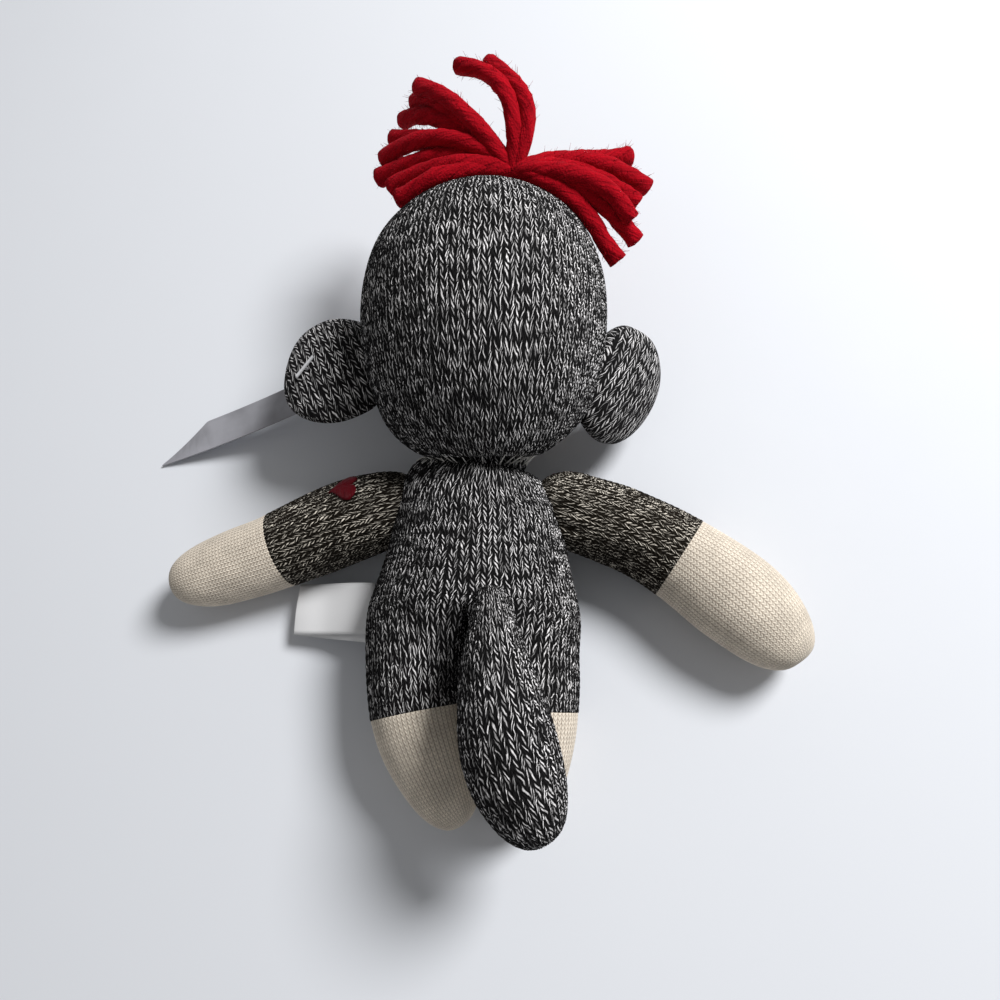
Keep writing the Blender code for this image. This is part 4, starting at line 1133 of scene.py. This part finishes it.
class DOLL_OT_face(bpy.types.Operator):
    """Knits the cream muzzle, and finishes the eyes and the stitched mouth."""
    bl_idname = "doll.face"
    bl_label = "Face"

    def execute(self, context):
        trim = context.scene.doll_trim
        matrix = np.array(limb_frame(NECK_PLACE, HEAD_HEADING))
        half = [s / 2 for s in MUZZLE_SIZE]
        middle = (MUZZLE_ALONG, 0.0, half[2] - FLOOR_PRESS - NECK_PLACE[2])
        wales = 72
        courses = round(math.pi * (half[0] + half[2]) / 2 / context.scene.doll_knit.fine_course)

        def place(u, v):
            turn = 2 * math.pi * u / wales
            fall = math.pi * v / courses
            local = np.stack((
                middle[0] + half[0] * np.sin(fall) * np.cos(turn),
                middle[1] + half[1] * np.sin(fall) * np.sin(turn),
                middle[2] - half[2] * np.cos(fall)), -1)
            return laid(matrix, local)

        pad = fine_knitted("muzzle_skin", place, wales, courses, 15, 0)
        dress(pad, "cream", 0.9, "head", "muzzle_cover", "muzzle_stuffing")
        button = plain_material("black button", trim.button, 0.18, 900.0, 0.00001, 0.2,
                                Coat_Weight=0.4)
        repaint(button, "left_eye", "right_eye", "left_eye_washer", "right_eye_washer")
        repaint(plain_material("red thread", trim.yarn, 0.85, 4000.0, 0.00008, 0.25),
                "mouth_stitching")
        return {"FINISHED"}


def repaint(material, *nodes):
    """Gives carried-over nodes their finish."""
    for node in nodes:
        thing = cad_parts[node]
        for slot_ in thing.material_slots:
            slot_.material = material
        if not thing.material_slots:
            thing.data.materials.append(material)


class DOLL_OT_hair(bpy.types.Operator):
    """Ties the tuft of thick yarn to the crown, with its loose fibres."""
    bl_idname = "doll.hair"
    bl_label = "Yarn hair"

    def execute(self, context):
        trim = context.scene.doll_trim
        root = limb_frame(NECK_PLACE, HEAD_HEADING) @ Vector(YARN_ROOT)
        chance = np.random.default_rng(4)
        crown = BVHTree.FromObject(bpy.data.objects["head_skin"],
                                   context.evaluated_depsgraph_get())
        whole = bmesh.new()
        whole.loops.layers.uv.new("plies")
        for n, row in enumerate(YARN_ROWS):
            self.strand(whole, n, root, Vector(row[:3]) * YARN_LENGTH,
                        Vector(row[3:]) * YARN_LENGTH, trim.yarn_radius, chance, crown)
        new_piece("yarn_hair_strands", whole,
                  yarn_material("crimson yarn", trim.yarn, trim.yarn_streaks_and_shade), "head",
                  ["yarn_hair"])
        return {"FINISHED"}

    def strand(self, whole, n, root, end, bend, radius, chance, crown):
        """One cut length of felted yarn, laid on the crown, and its loose fibres."""
        middle = root - Vector((0, 0.045, 0.020))
        sway = [Vector(chance.normal(0, 1, 3)) for _ in range(2)]
        points, radii = [], []
        for i in range(YARN_STEPS + 1):
            t = i / YARN_STEPS
            wander = (sway[0] * math.sin(math.pi * t) + sway[1] * math.sin(2 * math.pi * t)
                      ) * 0.0006
            point = root + end * t + bend * 4 * t * (1 - t) + wander
            spot, normal, _, _ = crown.find_nearest(point)
            short = radius * 0.9 - (point - spot).dot(normal)
            out = (point - middle).normalized()
            points.append(point + out * max(short, 0) * min(t / 0.15, 1))
            tip = 1 + 0.10 * max(0, (t - 0.80) / 0.20) ** 2
            radii.append(radius * 0.97 * tip * (
                0.92 + 0.10 * noise.noise(Vector((t * 9, n * 5.1, 0)))))
        for _ in range(4):
            points[1:-1] = [(a + 2 * b + c) / 4 for a, b, c in zip(points, points[1:], points[2:])]
        bm = bmesh.new()
        layer = bm.loops.layers.uv.new("plies")
        tube(bm, points, radii, 24, layer, 1 / PLY_LENGTH, 0.92, (YARN_PLIES, 0.025))
        for vert in bm.verts:
            vert.co += Vector([noise.noise(vert.co / 0.0016 + shift)
                               for shift in FELT_SHIFTS]) * 0.00028
        outwards(bm)
        gather(bm, whole)
        bm = bmesh.new()
        bm.loops.layers.uv.new("plies")
        for _ in range(YARN_FIBRES):
            at = min(int(chance.beta(1.7, 0.8) * YARN_STEPS), YARN_STEPS - 1)
            along = (points[at + 1] - points[at]).normalized()
            out = Vector(chance.normal(0, 1, 3))
            out = (out - along * out.dot(along)).normalized()
            reach = 0.0012 + 0.0016 * chance.random()
            aim = (out + along * chance.uniform(0.2, 1.6)).normalized()
            foot = points[at] + out * radii[at] * 0.88
            turn = aim.to_track_quat("Z", "Y").to_matrix().to_4x4()
            bmesh.ops.create_cone(
                bm, cap_ends=True, cap_tris=True, segments=3, radius1=0.00007, radius2=0.00003,
                depth=reach, matrix=Matrix.Translation(foot + aim * reach / 2) @ turn)
        gather(bm, whole)


def gather(bm, whole):
    """Adds one bmesh to another and frees it."""
    mesh = bpy.data.meshes.new("part")
    bm.to_mesh(mesh)
    bm.free()
    whole.from_mesh(mesh)
    bpy.data.meshes.remove(mesh)


class DOLL_OT_heart(bpy.types.Operator):
    """Sews the satin-stitched heart on the left upper arm."""
    bl_idname = "doll.heart"
    bl_label = "Heart patch"

    def execute(self, context):
        bm = bmesh.new()
        bmesh.ops.create_circle(bm, cap_ends=True, segments=64, radius=1)
        disc = list(bm.faces)
        for _ in range(HEART_RINGS - 1):
            bmesh.ops.inset_region(bm, faces=disc, thickness=1 / HEART_RINGS,
                                   use_boundary=True)
        bmesh.ops.poke(bm, faces=disc)
        tree = BVHTree.FromObject(bpy.data.objects["left_arm_skin"],
                                  context.evaluated_depsgraph_get())
        to_row = (limb_frame(LEFT_ARM["place"], LEFT_ARM["heading"])
                  @ Matrix.Translation((HEART_ALONG, 0, 0))
                  @ (Matrix.Rotation(math.radians(HEART_ROUND), 4, "X") @ Matrix.Rotation(
                      math.radians(HEART_TURN - LEFT_ARM["heading"]), 4, "Z")))
        axis = (to_row.to_3x3() @ UP).normalized()
        middle = Vector((0, -3))
        for vert in bm.verts:
            reach = vert.co.xy.length
            t = math.atan2(vert.co.x, vert.co.y)
            edge = Vector((16 * math.sin(t) ** 3, 13 * math.cos(t) - 5 * math.cos(2 * t)
                           - 2 * math.cos(3 * t) - math.cos(4 * t)))
            x, y = (middle + (edge - middle) * min(reach, 1)) * HEART_SIZE / 32
            spot = tree.ray_cast(to_row @ Vector((-y, x, 0.03)), -axis)[0]
            vert.co = spot + axis * (0.0004 + 0.0007 * (1 - reach ** 5) + 0.0001)
        for _ in range(3):
            bmesh.ops.smooth_vert(bm, verts=[v for v in bm.verts if not v.is_boundary],
                                  factor=0.5, use_axis_x=True, use_axis_y=True,
                                  use_axis_z=True)
        outwards(bm)
        if bm.faces[0].normal.dot(axis) < 0:
            bmesh.ops.reverse_faces(bm, faces=bm.faces)
        map_uv(bm, "plies", to_row, 0.00035, 0.01)
        material = thread_fill_material("dark red satin stitch", context.scene.doll_trim.felt)
        patch = new_piece("heart_stitching", bm, material, "left_arm",
                          ["heart_patch"])
        thicken(patch, 0.0005, -1)
        return {"FINISHED"}


class DOLL_OT_label(bpy.types.Operator):
    """Folds the bare satin care label into the left side seam."""
    bl_idname = "doll.label"
    bl_label = "Care label"

    def execute(self, context):
        matrix = limb_frame(*LABEL_PLACE)
        line = [(LABEL_LENGTH * i / LABEL_STEPS, 1.0) for i in range(LABEL_STEPS + 1)]
        fold = [(LABEL_LENGTH + 0.0005 * math.sin(a), math.cos(a))
                for a in np.linspace(0.3, math.pi - 0.3, 6)]
        line += fold + [(x, -1.0) for x, _ in reversed(line)]
        mesh, across, down = grid_mesh(LABEL_COLUMNS, len(line) - 1)
        spots = []
        for s, row in zip(across - 0.5, down):
            x, level = line[round(row * (len(line) - 1))]
            t = x / LABEL_LENGTH
            bulge = math.sin(math.pi * min(t, 1))
            wave = 0.0006 * math.sin(2.1 * math.pi * t + 0.6) * (0.35 + t) * bulge + (
                0.0005 * t * t * math.cos(math.pi * s * 1.3))
            gap = LABEL_GAP * (1 + 0.9 * bulge ** 2)
            aside = s * LABEL_WIDTH + (LABEL_SKEW * (1 - t) if level < 0 else 0.0)
            spots.append(matrix @ Vector((x, aside, level * gap + wave)))
        bm = laid_out(mesh, np.array(spots), 1e-6, closed=False)
        map_uv(bm, "plies", matrix, 0.0003, 0.0003)
        label = new_piece("care_label_ribbon", bm,
                          satin_material("white satin", context.scene.doll_trim.satin),
                          "torso", ["care_label"])
        thicken(label, 0.00016)
        return {"FINISHED"}


class DOLL_OT_tag(bpy.types.Operator):
    """Hangs the bare card tag on its nylon fastener, through the left ear."""
    bl_idname = "doll.tag"
    bl_label = "Swing tag"

    def execute(self, context):
        trim = context.scene.doll_trim
        matrix = limb_frame(*TAG_PLACE)
        bm = bmesh.new()
        start, end, half = -TAG_INSET, TAG_LENGTH - TAG_INSET, TAG_WIDTH / 2
        outline = ((start, -half), (end - TAG_SLANT, -half), (end, half), (start, half))
        bm.faces.new([bm.verts.new((x, y, 0)) for x, y in outline])
        bmesh.ops.bevel(bm, geom=list(bm.verts), offset=0.0009, segments=4, profile=0.5,
                        affect="VERTICES", material=-1)
        outer = list(bm.edges)
        loop = edges_of(bmesh.ops.create_circle(bm, segments=24, radius=TAG_HOLE)["verts"])
        bmesh.ops.delete(bm, geom=list(bm.faces), context="FACES_ONLY")
        bmesh.ops.bridge_loops(bm, edges=outer + loop)
        for x in np.linspace(start, end, 26)[1:-1]:
            bmesh.ops.bisect_plane(bm, geom=list(bm.verts) + list(bm.edges) + list(bm.faces),
                                   plane_co=(x, 0, 0), plane_no=(1, 0, 0), dist=1e-6)
        for vert in bm.verts:
            t = max(vert.co.x, 0) / TAG_LENGTH
            s = vert.co.y / half
            vert.co.z += -0.0016 * math.sin(math.pi * t) + 0.0007 * s * s * t
            vert.co = matrix @ vert.co
        bmesh.ops.remove_doubles(bm, verts=bm.verts, dist=1e-6)
        outwards(bm)
        tag = new_piece("hang_tag_card", bm, card_material("coated card", trim.card),
                        "swing_tag", ["hang_tag"], smooth=False)
        thicken(tag, TAG_THICKNESS)
        repaint(plain_material("clear nylon", trim.nylon, 0.3, 1500.0, 0.00001, 0.05,
                               Transmission_Weight=0.25, IOR=1.53), "tag_fastener")
        return {"FINISHED"}


class DOLL_OT_insides(bpy.types.Operator):
    """Finishes the small pieces that stay hidden in the doll."""
    bl_idname = "doll.insides"
    bl_label = "Hidden pieces"

    def execute(self, context):
        repaint(pale_thread(), "left_shoulder_knot", "right_shoulder_knot", "tail_knot")
        return {"FINISHED"}


class DOLL_OT_stage(bpy.types.Operator):
    """Lays the pale floor, hangs the soft lights and sets up the camera."""
    bl_idname = "doll.stage"
    bl_label = "Floor, lights and camera"

    def execute(self, context):
        stage = context.scene.doll_stage
        scene = context.scene
        bm = bmesh.new()
        bmesh.ops.create_grid(bm, x_segments=8, y_segments=8, size=3.0)
        floor = new_piece("floor", bm, plain_material(
            "pale floor", stage.floor, 0.85, 40.0, 0.00002, 0.012, Specular_IOR_Level=0.15))

        camera = bpy.data.cameras.new("camera")
        camera.lens = stage.lens
        camera.sensor_width = 36.0
        camera.clip_start = 0.01
        camera.clip_end = 20.0
        scene.camera = self.hang("camera", camera, CAMERA_PLACE)
        scene.camera.rotation_euler = [math.radians(a) for a in CAMERA_TURN]

        for name, place, power, size in (("key", KEY_PLACE, stage.key, KEY_SIZE),
                                         ("fill", FILL_PLACE, stage.fill, FILL_SIZE)):
            data = bpy.data.lights.new(name, "AREA")
            data.energy = power
            data.shape = "DISK"
            data.size = size
            lamp = self.hang(name, data, place)
            lamp.rotation_euler = Vector(place).to_track_quat("Z", "Y").to_euler()
        world = bpy.data.worlds.new("sky")
        world.use_nodes = True
        back = world.node_tree.nodes["Background"]
        back.inputs["Color"].default_value = (1.0, 1.0, 1.0, 1)
        back.inputs["Strength"].default_value = stage.sky
        scene.world = world
        scene.view_settings.view_transform = "Standard"
        return {"FINISHED"}

    def hang(self, name, data, place):
        thing = bpy.data.objects.new(name, data)
        thing.location = place
        bpy.context.scene.collection.objects.link(thing)
        return thing


PIECES = (
    DOLL_OT_torso, DOLL_OT_feet, DOLL_OT_arms, DOLL_OT_tail, DOLL_OT_head, DOLL_OT_neck,
    DOLL_OT_ears, DOLL_OT_face, DOLL_OT_hair, DOLL_OT_heart, DOLL_OT_label, DOLL_OT_tag,
    DOLL_OT_insides, DOLL_OT_stage,
)


class DOLL_PT_pieces(bpy.types.Panel):
    """Lists the doll's pieces and its settings."""
    bl_idname = "DOLL_PT_pieces"
    bl_label = "Sock monkey doll"
    bl_space_type = "VIEW_3D"
    bl_region_type = "UI"
    bl_category = "Doll"

    def draw(self, context):
        layout = self.layout
        for settings in ("doll_knit", "doll_trim", "doll_stage"):
            box = layout.box()
            group = getattr(context.scene, settings)
            for name in group.bl_rna.properties.keys():
                if name not in ("name", "rna_type"):
                    box.prop(group, name)
        for operator in PIECES:
            layout.operator(operator.bl_idname)


SETTINGS = (("doll_knit", DollKnit), ("doll_trim", DollTrim), ("doll_stage", DollStage))


def register():
    for name, group in SETTINGS:
        bpy.utils.register_class(group)
        setattr(bpy.types.Scene, name, bpy.props.PointerProperty(type=group))
    for operator in PIECES:
        bpy.utils.register_class(operator)
    bpy.utils.register_class(DOLL_PT_pieces)


def unregister():
    bpy.utils.unregister_class(DOLL_PT_pieces)
    for operator in reversed(PIECES):
        bpy.utils.unregister_class(operator)
    for name, group in reversed(SETTINGS):
        delattr(bpy.types.Scene, name)
        bpy.utils.unregister_class(group)


def main():
    register()
    for operator in PIECES:
        group, name = operator.bl_idname.split(".")
        getattr(getattr(bpy.ops, group), name)()


if __name__ == "__main__":
    main()
